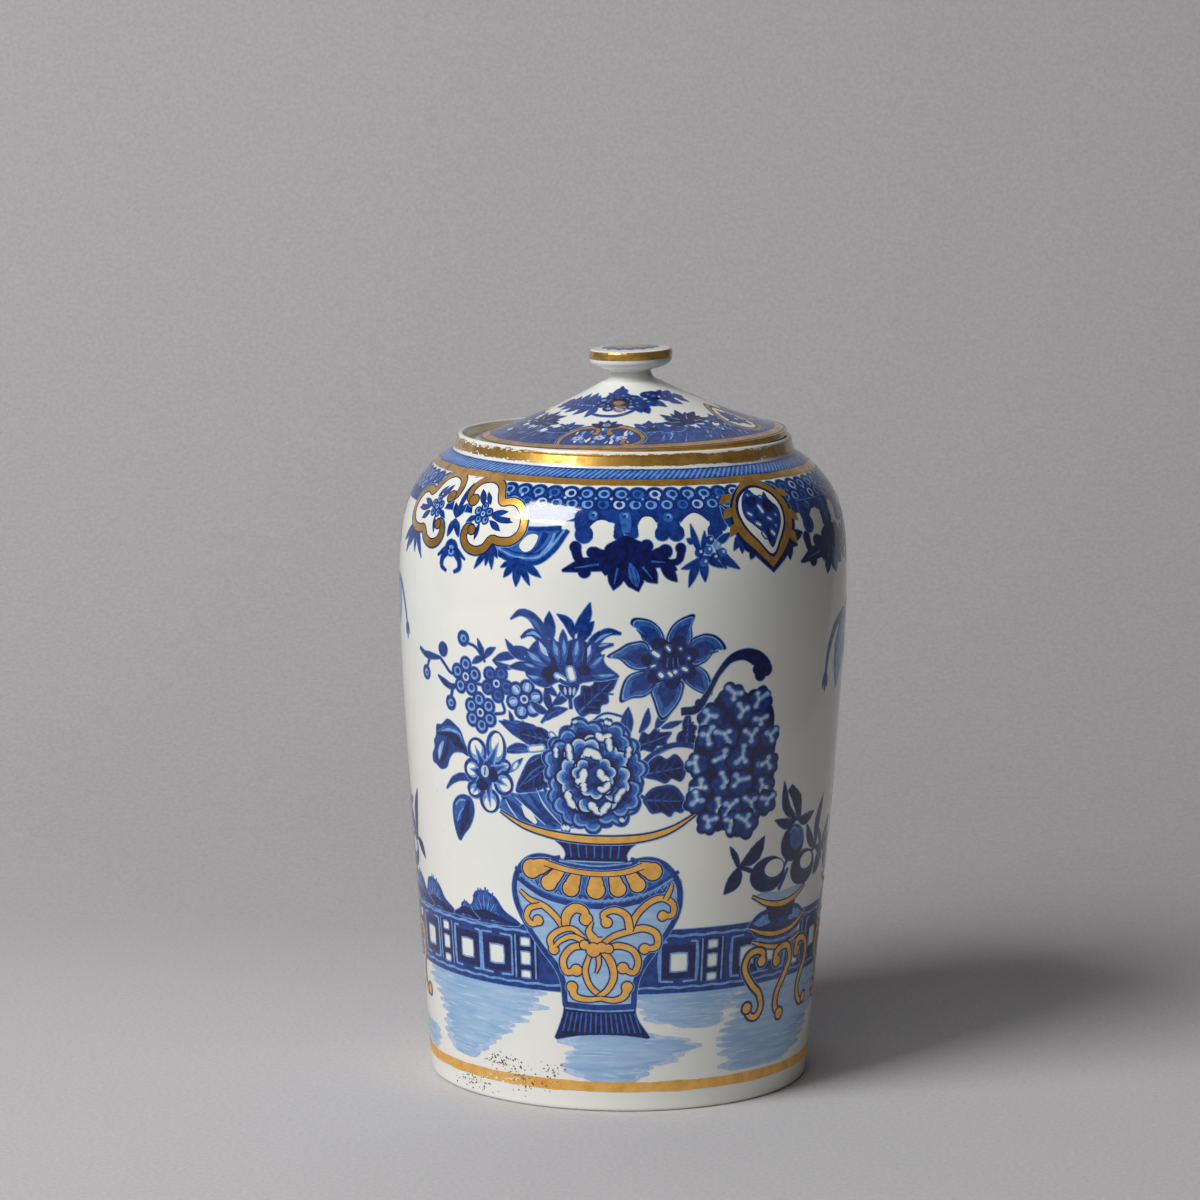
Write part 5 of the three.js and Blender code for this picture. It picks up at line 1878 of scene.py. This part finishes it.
def swag():
    """The striped crescent between cloud and palmette, with leaves under it."""
    wall.layer()
    below = eased([(-37, 107.2), (-33, 105.6), (-28, 104.4), (-22, 104.4), (-17.5, 106.6), (-14, 110.6)])
    above = eased([(-18, 110.8), (-22, 110.2), (-26.4, 109.9)]) + eased([(-29, 107.6), (-33, 107)])
    fill(MID, below + above)
    blob(BARE, [(-27, 107.4), (-24.6, 109.4), (-22, 109.3), (-23.2, 107), (-25.4, 106.2)])
    for inset, tone, width in ((0, DEEP, 0.8), (0.95, LIGHT, 0.4), (1.7, DEEP, 0.35)):
        stroke(tone, [
            (-34, 105.8 + inset), (-28, 104.3 + inset), (-22, 104.4 + inset),
            (-17.6 - inset, 106.8 + inset * 0.5), (-14.2 - inset, 110.6),
        ], (width,))
    stroke(DEEP, [(-27, 110.4), (-21, 110.6), (-16, 111)], (0.8,))
    stroke(DEEP, [(-20, 110), (-21.4, 107.6), (-24.4, 105.6)], (1.4, 0.8, 0.4))
    stroke(LIGHT, [(-17.6, 110), (-18.6, 107.8), (-21, 106)], (0.5, 0.7, 0.3))
    for tip, width in (
        ((-31, 101.2), 1.5), ((-27.4, 99.7), 1.9), ((-23.6, 100.1), 1.5), ((-20.6, 101.7), 1.7),
        ((-32, 103), 1.2),
    ):
        leaf(DEEP, (-27, 105), tip, width, 0, None, 0.6)


# %% [markdown]
# ### Bands
# The neck has a band of twisted rope between white and gold, and a gold line runs round above the foot.
# The gold on the lip has been rubbed by the lid for many years: it is thin and ragged at its edges.
# %% Bands round the neck, the lip and the foot
def ragged(base, low, high, reach, seed, step=0.6):
    """An edge round the jar that wanders slowly from low to high about a base, with fine steps to reach."""
    random = numpy.random.default_rng(seed)
    count = int((HALF_TURN_RIGHT - HALF_TURN_LEFT) / step)
    knots = numpy.arange(0, count + 1, 7)
    wander = numpy.interp(numpy.arange(count + 1), knots, random.uniform(low, high, len(knots)))
    fine = random.uniform(-reach, reach, count + 1)
    fine[-1], wander[-1] = fine[0], wander[0]
    return [(HALF_TURN_LEFT + step * i, base + float(wander[i] + fine[i])) for i in range(count + 1)]


ROPE_STRANDS = 100


def neck_bands():
    """The rope band and the gold bands of the neck."""
    wall.layer()
    wall.band(DEEP, 121.5, 124.4)
    for index in range(ROPE_STRANDS + 2):
        x = HALF_TURN_LEFT + 180 / ROPE_STRANDS * (index - 2)
        for tone, width, ahead in ((MID, 0.9, 0), (LIGHT, 0.34, 0.1)):
            strand = [(x + ahead, 121.7), (x + 1.6 + ahead, 122.9), (x + 3.4 + ahead, 124.2)]
            stroke(tone, strand, (width * 0.6, width, width * 0.6), eased=False)
    fill(DEEP, ragged(121.8, -0.05, 0.05, 0.05, 21) + ragged(121.45, 0, 0, 0, 22)[::-1])
    fill(DEEP, ragged(124.4, -0.05, 0.05, 0.05, 23) + ragged(124.1, 0, 0.1, 0.05, 24)[::-1])
    fill(BRIGHT, ragged(121.6, -0.12, 0.12, 0.05, 25) + ragged(119.95, -0.12, 0.15, 0.05, 26)[::-1])


LIP_GOLD_TOP = 127.4
LIP_GOLD_FOOT = 125
LIP_WEAR_ABOVE = 0.7
# Wear is (degrees, spread, count). Grit is (degrees, height, spread across, spread up, count).
LIP_WEAR = ((-62, 9, 120), (-45, 22, 60), (33, 2, 16), (51, 3, 20), (5, 50, 40))
GRIT_CLUSTERS = (
    (-36.5, 8.2, 3.4, 1, 70), (-20, 6.9, 1.6, 1.3, 40), (-29.5, 5.4, 2.4, 1.3, 60),
    (-49, 2.6, 4, 0.7, 60),
)


def lip_and_foot_gold():
    """The worn gold of the lip, the gold line over the foot and the grit in the glaze below it."""
    wall.layer()
    random = numpy.random.default_rng(29)
    fill(BRIGHT, ragged(127.3, -0.2, 0.15, 0.08, 27, 0.36) + ragged(125.1, -0.12, 0.15, 0.08, 28)[::-1])
    for x, spread, count in LIP_WEAR:
        for _ in range(count):
            if random.random() < LIP_WEAR_ABOVE:
                up = LIP_GOLD_TOP - abs(random.normal(0, 0.3))
            else:
                up = LIP_GOLD_FOOT + abs(random.normal(0, 0.3))
            place = (float(numpy.clip(random.normal(x, spread), -94, 84)), up)
            dot(BARE, place, random.uniform(0.2, 1.1), random.uniform(0.15, 0.5), 7)
    fill(GOLD, ragged(6, -0.1, 0.1, 0.04, 30) + ragged(4, -0.1, 0.1, 0.04, 31)[::-1])
    for _ in range(34):
        place = (random.uniform(-44, -27), random.uniform(3.9, 6.1))
        dot(BARE, place, random.uniform(0.2, 0.8), random.uniform(0.4, 0.8), 6)
    for x, up, across, rise, count in GRIT_CLUSTERS:
        for _ in range(count):
            place = (random.normal(x, across), up + random.normal(0, rise))
            dot(GRIT, place, random.uniform(0.12, 0.5), random.uniform(0.5, 1), 6)


# %% [markdown]
# ### Painting the wall
# The order is the order in which things cover one another.
# %% Paint the wall from back to front
ground()
fence()
bush(-40, 22, 6.4, 26)
bush(-64, 22, 6, 24)
bush(-47.5, 10, 3.2, 12)
bush(104, 22, 5.6, 24)
wall.origin = 38
stand()
wall.origin = 0
stand()
vase_body()
vase_neck_and_foot()
left_spray()
bouquet_leaves()
lily()
narcissus()
white_flower()
peony()
floret_ball()
vase_gilding()
hanging_spray()
ring_ground()
for turn in (0, 66):
    lambrequin(turn)
    sprays(turn)
swag()
clouds()
drop()
neck_bands()
lip_and_foot_gold()
print("the wall has %d shapes" % len(wall.painted()))

# %% [markdown]
# ## The lid's pattern
# The lid carries the same kind of border, only bent inwards: a dark ground of small scales along the
# edge, leafy sprays that rise from it, a gilt cartouche, and a wreath of loose twigs round the knob. On
# the lid's sheet the height is measured from the edge inwards.
# %% The lid's sheet and its border
LID_LEFT = -105
LID_RIGHT = 75
lid_line = rounded([Vector((LID_RADIUS, 0.1 * MM)), Vector((LID_RADIUS, LID_EDGE))] + dome_line())
lid_top = Sheet(lid_line, LID_LEFT, LID_RIGHT)


def spray_on_lid(centre, tips, tone, width, heart=None):
    """Leaves that spring from one place: each is (millimetres across, millimetres up, share of width)."""
    for across, up, share in tips:
        lid_top.leaf(tone, centre, lid_top.off(centre, across, up), width * share, 0.06)
    if heart is not None:
        lid_top.dot(tone, centre, 2.6, 0.8)
        lid_top.dot(heart, centre, 1.2, 0.8)


def lid_edge():
    """The dark ground of the border, with its fine lines and leafy upper edge."""
    lid_top.layer()
    random = numpy.random.default_rng(41)
    top = []
    for index in range(91):
        wave = 8.2 + 0.9 * math.sin(index * 0.9)
        top.append((LID_LEFT + 2 * index, wave + random.uniform(-0.6, 0.6)))
    lid_top.fill(DEEP, [(LID_LEFT, 3.3), (LID_RIGHT, 3.3)] + top[::-1])
    for _ in range(110):
        x, up = random.uniform(LID_LEFT, LID_RIGHT), random.uniform(6.5, 9.5)
        tip = (x + random.uniform(-4, 4), up + random.uniform(1, 2.6))
        lid_top.leaf(DEEP, (x, up - 1), tip, random.uniform(0.9, 1.6), random.uniform(-0.1, 0.1))
    for _ in range(70):
        place = (random.uniform(LID_LEFT, LID_RIGHT), random.uniform(3.8, 8.4))
        lid_top.dot(DARK, place, random.uniform(0.8, 2.2), 0.7)
    for _ in range(190):
        x, up = random.uniform(LID_LEFT, LID_RIGHT), random.uniform(3.6, 8.2)
        tone = MID if random.random() < 0.7 else LIGHT
        lid_top.stroke(tone, [(x, up), (x + 1, up + 0.7), (x + 1.6, up + 1.5)], (0.08, 0.36, 0.08))


# %% The lid's sprays
def lid_sprays():
    """The leafy sprays that rise from the ground."""
    lid_top.layer()
    for centre, size in (
        ((-62, 11.5), 1), ((33, 12), 1), ((-36, 9.5), 0.7), ((10, 9.8), 0.75), ((55, 10.5), 0.7),
        ((-90, 11.5), 0.9),
    ):
        fan = []
        for index in range(11):
            angle = math.radians(-20 + 22 * index)
            reach = size * (4.6 if index % 2 else 3.7)
            share = 1.1 if index % 2 else 0.8
            fan.append((math.cos(angle) * reach * 1.2, math.sin(angle) * reach, share))
        spray_on_lid(centre, fan, DARK if size == 1 else DEEP, 1.7)
        lid_top.dot(DARK, centre, 3.4 * size, 0.8)
        for index in (1, 4, 7, 9):
            across, up, _ = fan[index]
            vein = [lid_top.off(centre, across * share, up * share) for share in (0.3, 0.7)]
            lid_top.stroke(LIGHT, vein, (0.35, 0.1))
    for x in (-98, -82, -74, -50, -43, -2, 4, 18, 24, 44, 50, 64, 71):
        spray_on_lid((x, 8.4), [(-1.6, 1.8, 1), (-0.4, 3, 1), (1.3, 2.2, 1)], DEEP, 1.5)
    for place in ((-52, 8.6), (-47, 10.4), (-75, 9.4), (46, 9.2), (-80, 6.5)):
        lid_top.leaf(BARE, place, lid_top.off(place, 1.8, 0.8), 1)
        lid_top.leaf(BARE, place, lid_top.off(place, 0.9, 1.5), 0.8)


# %% The wreath round the knob
def lid_wreath():
    """The loose twigs round the knob, with one flower that has a gilt heart."""
    lid_top.layer()
    heart = (-12, 20.2)
    for index in range(9):
        angle = math.tau * index / 9
        spot = lid_top.off(heart, math.cos(angle) * 3.4, math.sin(angle) * 2.4)
        lid_top.dot(DARK, spot, 2.3, 0.85)
        lid_top.dot(MID if index % 2 else LIGHT, spot, 1.1, 0.7)
    lid_top.dot(DARK, heart, 4.4, 0.75)
    lid_top.dot(DEEP, (-14, 24), 2.6, 0.9)
    lid_top.leaf(DEEP, (-14, 22.5), (-14.5, 26), 1.4)
    lid_top.dot(BRIGHT, heart, 2.3, 0.6)
    lid_top.stroke(DEEP, [(-78, 18.4), (-62, 19.2), (-46, 19.4), (-30, 19.6)], (0.3, 0.5, 0.5))
    for x, tips in (
        (-70, ((-76, 20.4), (-78, 17))), (-60, ((-67, 21.6), (-66, 16.6))), (-50, ((-57, 23), (-56, 16))),
        (-40, ((-46, 23.4), (-45, 15.4))), (-33, ((-39, 22.6), (-33, 14.8))),
    ):
        for tip in tips:
            lid_top.leaf(DEEP, (x, 19.2), tip, 1.9, 0.1)
            lid_top.leaf(DEEP, (x - 4, 19.2), ((x + tip[0]) / 2 - 6, (19.2 + tip[1]) / 2), 1.5, 0.1)
    lid_top.stroke(DEEP, [
        (-34, 16.6), (-24, 15.6), (-12, 15.4), (-4, 16.4), (4, 18),
    ], (0.3, 0.7, 0.8, 0.8, 0.4))
    for tip in ((-30, 23.6), (-24, 24), (2, 22.8)):
        lid_top.leaf(DEEP, (-14, 22), tip, 1.1)
    for root, tip, width in (
        ((2, 19), (7, 16.4), 1.3), ((6, 19.6), (12, 16), 1.8), ((6, 20.4), (15, 18.4), 1.6),
        ((4, 21), (12, 21.6), 1.6), ((14, 20), (22, 18.6), 1.4), ((20, 20.4), (29, 18), 1.6),
        ((16, 21), (26, 20), 1.3), ((30, 21), (41, 20.6), 1.5), ((38, 21), (50, 21.6), 1.5),
        ((36, 20.6), (47, 18.4), 1.6), ((40, 21.4), (54, 23.4), 1.6), ((34, 21.6), (42, 24), 1.5),
        ((48, 21.4), (62, 20.8), 1.5), ((50, 21), (58, 18.8), 1.2),
    ):
        lid_top.leaf(DEEP, root, tip, width * 1.25, 0.08)
    lid_top.stroke(DEEP, [(0, 20.4), (16, 20.8), (34, 21.2), (54, 21.2)], (0.9, 0.6, 0.6, 0.4))
    for place, size in (((20, 22.6), 3.2), ((26, 22.9), 2.6), ((23, 21.4), 2.4)):
        lid_top.dot(DARK, place, size, 0.75)
    for place in ((20, 23), (25, 22.2)):
        lid_top.dot(MID, place, 0.9)


# %% The lid's gilt frames
def lid_cartouche():
    """The gilt C-scrolls by the edge, and the light leaves that fill them."""
    lid_top.layer()
    random = numpy.random.default_rng(43)
    lid_top.blob(DEEP, [
        (-30, 3.4), (-31.4, 5.4), (-31, 8), (-27, 9.8), (-20, 10.4), (-15, 9.6), (-10, 10.4), (-4, 10.4),
        (1, 9), (4, 6.6), (1, 4.4), (-4, 3.2),
    ])
    for _ in range(46):
        x, up = random.uniform(-29, 1), random.uniform(3.8, 8.6)
        tone = (LIGHT, PALE, BARE, LIGHT)[random.integers(4)]
        tip = lid_top.off((x, up), random.uniform(-0.9, 0.7), random.uniform(1, 1.9))
        lid_top.leaf(tone, (x, up), tip, random.uniform(0.4, 0.75))
    for x, y in ((-25, 6.4), (-15, 6.8), (-5, 6.6)):
        blossom_on(lid_top, (x, y), 2.6)
    for points, ball in (
        ([(-31, 3.4), (-32.6, 5.6), (-31.4, 8.4), (-27, 10.4), (-21, 10.9), (-17.4, 9.8), (-18, 8.4)],
         1.2),
        ([(-4, 2.9), (2, 4.2), (4.8, 6.6), (2, 9.4), (-4, 11), (-9, 10.9), (-12, 9.8), (-11, 8.6)], 1.2),
        ([(-2, 3.4), (-4.4, 4.4), (-3.6, 5.6)], 0.9),
    ):
        lid_top.stroke(DARK, points, (1, 1.4, 1.2))
        lid_top.dot(DARK, points[-1], ball + 0.5)
        lid_top.stroke(BRIGHT, points, (0.55, 0.9, 0.75))
        lid_top.dot(BRIGHT, points[-1], ball)
    for across, up in ((-3, 1.6), (-1.6, 2.6), (0, 3), (1.6, 2.6), (3, 1.4)):
        lid_top.leaf(DARK, (-14.6, 10.8), lid_top.off((-14.6, 10.8), across, up), 1.6)
    lid_top.dot(LIGHT, (-14.6, 12), 1.6, 0.8)
    lid_top.dot(BRIGHT, (-14.6, 12), 0.8, 0.8)


def lid_drop():
    """The gilt leaf frame at the side of the lid, half filled by a dark spray."""
    lid_top.layer()
    outline = [
        (57, 9), (59, 12.4), (64, 15.2), (72, 16.8), (78, 15.4), (81, 12), (80, 8.6), (74, 5.4),
        (66, 4.4), (60, 6),
    ]
    lid_top.shaded(outline, ((DARK, 1.05), (BRIGHT, 1), (DARK, 0.86), (BARE, 0.78)), (70, 10.5))
    spray_on_lid((70, 10), [
        (-2.4, 1.4, 1), (2.4, 1.4, 1), (0, 4.2, 1.2), (-2.6, -1.6, 1), (2.2, -1.6, 1), (0, -3.4, 1),
        (-1.6, 3, 1), (1.6, 3, 1), (-3.4, 0, 1),
    ], DEEP, 1.9, PALE)


# %% Paint the lid
def blossom_on(sheet, place, size):
    """A small pale blossom of dots."""
    sheet.dot(MID, place, size, 0.8)
    for index in range(5):
        angle = math.tau * index / 5
        spot = sheet.off(place, math.cos(angle) * size * 0.26, math.sin(angle) * size * 0.22)
        sheet.dot(PALE, spot, size * 0.34, 0.9)
    sheet.dot(DEEP, place, size * 0.2)


lid_edge()
lid_sprays()
lid_wreath()
lid_cartouche()
lid_drop()
lid_top.band(BRIGHT, 1.75, 3.3)
lid_top.band(DARK, 1.3, 1.75)
lid_top.band(BRIGHT, 0.1, 1.3)
# The gold is left off the lid's edge over one stretch, and again opposite, so the edge shows white there.
lid_top.blob(BARE, [(-104, 0.1), (-98, 0.8), (-88, 1), (-76, 0.8), (-66, 0.1)])
print("the lid has %d shapes" % len(lid_top.painted()))

# %% [markdown]
# The knob's flat top has a flower with a scalloped edge, a gilt heart and a gilt rim.
# %% The knob's sheet
knob_top = Sheet(knob_button()[:-1] + [Vector((0.05 * MM, KNOB_TOP + KNOB_SWELL))], -180, 180)


def knob_print():
    """A gilt edge, a white margin, and a flower with scalloped edge and a gilt heart."""
    knob_top.band(BRIGHT, 0.2, 1.75)
    scallops = []
    for step in range(361):
        angle = math.radians(step - 180)
        scallops.append((step - 180, 4 + 0.55 * abs(math.sin(angle * 7))))
    knob_top.fill(DEEP, scallops + [(180, 9.4), (-180, 9.4)])
    for index in range(28):
        x = -180 + 360 / 28 * index
        knob_top.leaf(LIGHT, (x, 6.2), (x, 4.9), 0.5)
    heart = [(step - 180, 5.9 + 0.25 * math.sin(math.radians(step * 12))) for step in range(361)]
    knob_top.fill(BRIGHT, heart + [(180, 9.5), (-180, 9.5)])


knob_print()

# %% [markdown]
# ## The blue and the gold as materials
# Cobalt blue lies on the clay and under the glaze, so it has the glaze's shine and no edge of its own.
# The paper left a little more ink in one spot than in the next, which gives the grain that the eye
# takes for print. A brushed wash pools in streaks along the stroke instead.
# %% Underglaze blue, printed and washed
STREAK_STRETCH = (1, 1, 7)
STREAK_PERIOD = 9 * MM


def underglaze_blue(name, thin, thick, grain, brushed=False):
    """Cobalt seen through clear glaze, thin where the paper or the brush left little of it."""
    material, tree, shader, place = new_material(name)
    if brushed:
        along = add(tree, "ShaderNodeVectorMath", {0: place, 1: STREAK_STRETCH}, operation="MULTIPLY")
        spread = ramp(tree, noise(tree, along.outputs[0], STREAK_PERIOD, 4, 0.6), 0.3, 0.7)
    else:
        spread = ramp(tree, noise(tree, place, grain * MM, 3, 0.65), 0.36, 0.66)
    colour = blend(tree, spread, linear(thin), linear(thick))
    tree.links.new(colour, shader.inputs["Base Color"])
    glaze_shine(tree, shader, place)
    return material


# %% [markdown]
# Gold is fired on last, over the glaze, as a thin film of metal. On flat bands it is dull and a little
# brown, and it wears: fine bare specks show the glaze through it.
# %% Gilding
BLOOM_PERIOD = 2.5 * MM
COAT_ROUGHNESS = 0.12


def worn_gold(name, colour, dull, roughness, metal, coat=0.0):
    """Thin gold with a brown, duller bloom. The coat gives burnished gold its sharper shine."""
    material, tree, shader, place = new_material(name)
    bloom = ramp(tree, noise(tree, place, BLOOM_PERIOD, 4, 0.65), 0.35, 0.7)
    tree.links.new(blend(tree, bloom, linear(colour), linear(dull)), shader.inputs["Base Color"])
    shader.inputs["Metallic"].default_value = metal
    tree.links.new(add(tree, "ShaderNodeMapRange", {
        "Value": bloom, "To Min": roughness - 0.08, "To Max": roughness + 0.1,
    }).outputs[0], shader.inputs["Roughness"])
    shader.inputs["Coat Weight"].default_value = coat
    shader.inputs["Coat Roughness"].default_value = COAT_ROUGHNESS
    return material


# %% Kiln grit
GRIT_DARK = "#3d2f20"
GRIT_PALE = "#8a7350"
GRIT_PERIOD = 2 * MM
GRIT_ROUGHNESS = 0.6


def kiln_grit():
    """Brown specks of ash and sand that fell into the glaze."""
    material, tree, shader, place = new_material("kiln_grit")
    tint = ramp(tree, noise(tree, place, GRIT_PERIOD, 2, 0.6), 0.3, 0.7)
    tree.links.new(blend(tree, tint, linear(GRIT_DARK), linear(GRIT_PALE)), shader.inputs["Base Color"])
    shader.inputs["Roughness"].default_value = GRIT_ROUGHNESS
    return material


# %% The paint for each tone
BLUES = {
    WASH: ("print_wash", underglaze_blue("cobalt_wash_brushed", "#a6c3e0", "#88add4", 3, True)),
    PALE: ("print_pale", underglaze_blue("cobalt_wash_pale", "#b9cde6", "#9fbade", 2)),
    LIGHT: ("print_light", underglaze_blue("cobalt_print_light", "#7ba5dc", "#568ac9", 1.2)),
    MID: ("print_mid", underglaze_blue("cobalt_print_middle", "#3368b5", "#1f4f9b", 1.2)),
    DEEP: ("print_deep", underglaze_blue("cobalt_print_deep", "#143f90", "#0b2768", 1.2)),
    DARK: ("print_dark", underglaze_blue("cobalt_print_dark", "#0a1a60", "#040b35", 1.2)),
}
FLAT_GOLD = worn_gold("matt_gilding", "#f0ba62", "#dca350", 0.5, 0.25)
BRIGHT_GOLD = worn_gold("burnished_gilding", "#deac4e", "#ad7a2c", 0.36, 0.75, 1.0)
BLUE_LIFT = 0.03
GOLD_LIFT = 0.045
PAINTS = {
    tone: (name, material, "underglaze_blue", BLUE_LIFT)
    for tone, (name, material) in BLUES.items()
}
PAINTS[GOLD] = ("matt_gold", FLAT_GOLD, "gilding", GOLD_LIFT)
PAINTS[GRIT] = ("grit", kiln_grit(), "glazed_porcelain", BLUE_LIFT)
PAINTS[BRIGHT] = ("bright_gold", BRIGHT_GOLD, "gilding", GOLD_LIFT)

# %% [markdown]
# Each tone of a sheet is laid on as a piece of its own: the blues just over the clay, the gold over them.
# %% Lay the wall's sheet round the jar, twice
lay_round(wall, "wall_", "jar", 2, PAINTS)

# %% Lay the lid's and the knob's sheets
lay_round(lid_top, "lid_", "cover", 2, PAINTS, -LID_TILT, LID_PLACE)
lay_round(knob_top, "knob_", "cover", 1, PAINTS, -LID_TILT, LID_PLACE)

# %% [markdown]
# ## The table and the light
# The jar stands on grey paper that curves up behind it. Its grey is painted shade: it darkens towards the
# back and is darkest in the bend, then a little lighter up the wall, as the light falls off on a real
# sheet. Seen from its back it is clear, so it never hides the jar.
# A soft box stands high on the left and makes the bright spot on the shoulder. A wide, weaker light at
# the front left stands for light that comes back off the walls. The room gives a very weak even light
# that keeps the shaded side readable, and looks a little brighter itself where the glaze mirrors it.
# %% Paper sweep
# The floor's grey is the paper's own. The darker greys of the bend and the wall are painted shade.
FLOOR_COLOUR = "#c6c4c5"
BEND_SHADE_COLOUR = "#b1afb0"
WALL_SHADE_COLOUR = "#bab8b9"
SWEEP_START = 0.118
SWEEP_RADIUS = 0.25
SWEEP_LEFT = -0.6
SWEEP_RIGHT = 0.3
SWEEP_TOP = 1.6
SWEEP_STEPS = 24
FLOOR_FRONT = -0.45
BEND_DEPTHS = (0.02, 0.22)
WALL_HEIGHTS = (0.03, 0.3)
PAPER_FIBRE = 0.9 * MM
PAPER_ROUGHNESS = 0.9
PAPER_SHEEN = 0.1


def matt_grey_paper():
    """Matt grey paper with faint fibres and painted shade in its bend, clear when it is seen from its back.
    """
    material, tree, shader, place = new_material("matt_grey_paper")
    axes = add(tree, "ShaderNodeSeparateXYZ", {0: place}).outputs
    # Painted shade: darker from the floor into the bend, then a little lighter up the wall.
    bend_shade = blend(tree, ramp(tree, axes["Y"], *BEND_DEPTHS), linear(FLOOR_COLOUR), linear(BEND_SHADE_COLOUR))
    painted_falloff = blend(tree, ramp(tree, axes["Z"], *WALL_HEIGHTS), bend_shade, linear(WALL_SHADE_COLOUR))
    fibres = add(tree, "ShaderNodeMapRange", {
        "Value": noise(tree, place, PAPER_FIBRE, 2),
        "From Min": 0.3, "From Max": 0.7, "To Min": 0.93, "To Max": 1.05,
    }).outputs[0]
    tone = add(tree, "ShaderNodeVectorMath", {0: painted_falloff, "Scale": fibres}, operation="SCALE").outputs[0]
    tree.links.new(tone, shader.inputs["Base Color"])
    shader.inputs["Roughness"].default_value = PAPER_ROUGHNESS
    shader.inputs["Specular IOR Level"].default_value = PAPER_SHEEN
    away = add(tree, "ShaderNodeNewGeometry").outputs["Backfacing"]
    clear = add(tree, "ShaderNodeBsdfTransparent").outputs[0]
    both = add(tree, "ShaderNodeMixShader", {0: away, 1: shader.outputs[0], 2: clear}).outputs[0]
    tree.links.new(both, tree.nodes["Material Output"].inputs["Surface"])
    return material


def paper_sweep():
    """The floor and the backdrop, one sheet of matt paper."""
    angles = [math.pi / 2 * step / SWEEP_STEPS for step in range(SWEEP_STEPS + 1)]
    bend = [(SWEEP_START + SWEEP_RADIUS * math.sin(a), SWEEP_RADIUS * (1 - math.cos(a))) for a in angles]
    line = [(FLOOR_FRONT, 0)] + bend + [(bend[-1][0], SWEEP_TOP)]
    points = [(side, y, z) for y, z in line for side in (SWEEP_LEFT, SWEEP_RIGHT)]
    faces = [(i, i + 1, i + 3, i + 2) for i in range(0, len(points) - 2, 2)]
    mesh = bpy.data.meshes.new("paper_sweep")
    mesh.from_pydata(points, [], faces)
    mesh.shade_smooth()
    mesh.materials.append(matt_grey_paper())
    paper = bpy.data.objects.new("paper_sweep", mesh)
    scene.collection.objects.link(paper)
    print("the paper bends over %d steps" % SWEEP_STEPS)
    return paper


paper_sweep()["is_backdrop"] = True

# %% Lamps and the room
LIT_POINT = Vector((0, 0, 0.08))
ROOM_LIGHT = 0.022
ROOM_WALLS = 0.1


def soft_box(name, around, up, distance, width, height, power, in_glaze=True):
    """A soft light that faces the jar. One that isn't in the glaze stands for light off the walls."""
    lamp = bpy.data.lights.new(name, "AREA")
    lamp.shape = "RECTANGLE"
    lamp.size = width
    lamp.size_y = height
    lamp.energy = power
    placed = bpy.data.objects.new(name, lamp)
    around, up = math.radians(around), math.radians(up)
    ahead = Vector((math.sin(around) * math.cos(up), -math.cos(around) * math.cos(up), math.sin(up)))
    placed.location = LIT_POINT + ahead * distance
    placed.rotation_euler = ahead.to_track_quat("Z", "Y").to_euler()
    placed.visible_glossy = in_glaze
    scene.collection.objects.link(placed)
    print("%s: %.1f W" % (name, power))


soft_box("key_light", around=-49, up=43, distance=1.25, width=0.55, height=0.48, power=12.8)
soft_box("wall_light", around=-27, up=25, distance=1.8, width=1.6, height=1.2, power=8.5, in_glaze=False)
scene.world = bpy.data.worlds.new("room")
scene.world.use_nodes = True
room = scene.world.node_tree
ray = add(room, "ShaderNodeLightPath").outputs
seen = add(room, "ShaderNodeMath", {
    0: ray["Is Camera Ray"], 1: ray["Is Glossy Ray"],
}, operation="MAXIMUM")
looked_at = add(room, "ShaderNodeMath", {
    0: seen.outputs[0], 1: ray["Is Transmission Ray"],
}, operation="MAXIMUM")
strength = add(room, "ShaderNodeMapRange", {
    "Value": looked_at.outputs[0], "To Min": ROOM_LIGHT, "To Max": ROOM_WALLS,
})
room.nodes["Background"].inputs["Color"].default_value = (1, 1, 1, 1)
room.links.new(strength.outputs[0], room.nodes["Background"].inputs["Strength"])

# %% [markdown]
# ## The camera
# A long lens from a little above, as a photographer would stand for a single pot. The camera's height,
# distance and tilt were fitted to the jar's outline and to the rims' ellipses.
# %% Camera
CAMERA_PLACE = Vector((0, -0.8833, 0.2252))
CAMERA_DOWN = math.radians(8.624)
CAMERA_LEFT = math.radians(0.285)
CAMERA_ROLL = math.radians(0.485)
LENS = 139.86
SENSOR_WIDTH = 36
CLIP_START = 0.01

camera = bpy.data.objects.new("camera", bpy.data.cameras.new("camera"))
camera.data.sensor_width = SENSOR_WIDTH
camera.data.lens = LENS
camera.data.clip_start = CLIP_START
camera.matrix_world = (
    Matrix.Translation(CAMERA_PLACE)
    @ Matrix.Rotation(CAMERA_LEFT, 4, "Z")
    @ Matrix.Rotation(math.pi / 2 - CAMERA_DOWN, 4, "X")
    @ Matrix.Rotation(CAMERA_ROLL, 4, "Z")
)
scene.collection.objects.link(camera)
bpy.context.scene.camera = camera
scene.view_settings.view_transform = "Standard"

# %% [markdown]
# ## The two boxes
# The imported model's box and the visual model's box are listed side by side.
# The visual model has to stay in the imported model's box, so both boxes are written down side by side.
# %% Sizes to compare, and the end
boxes = {"cad": cad_box, "visual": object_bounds()}
{name: [list(corner) for corner in box] for name, box in boxes.items()}
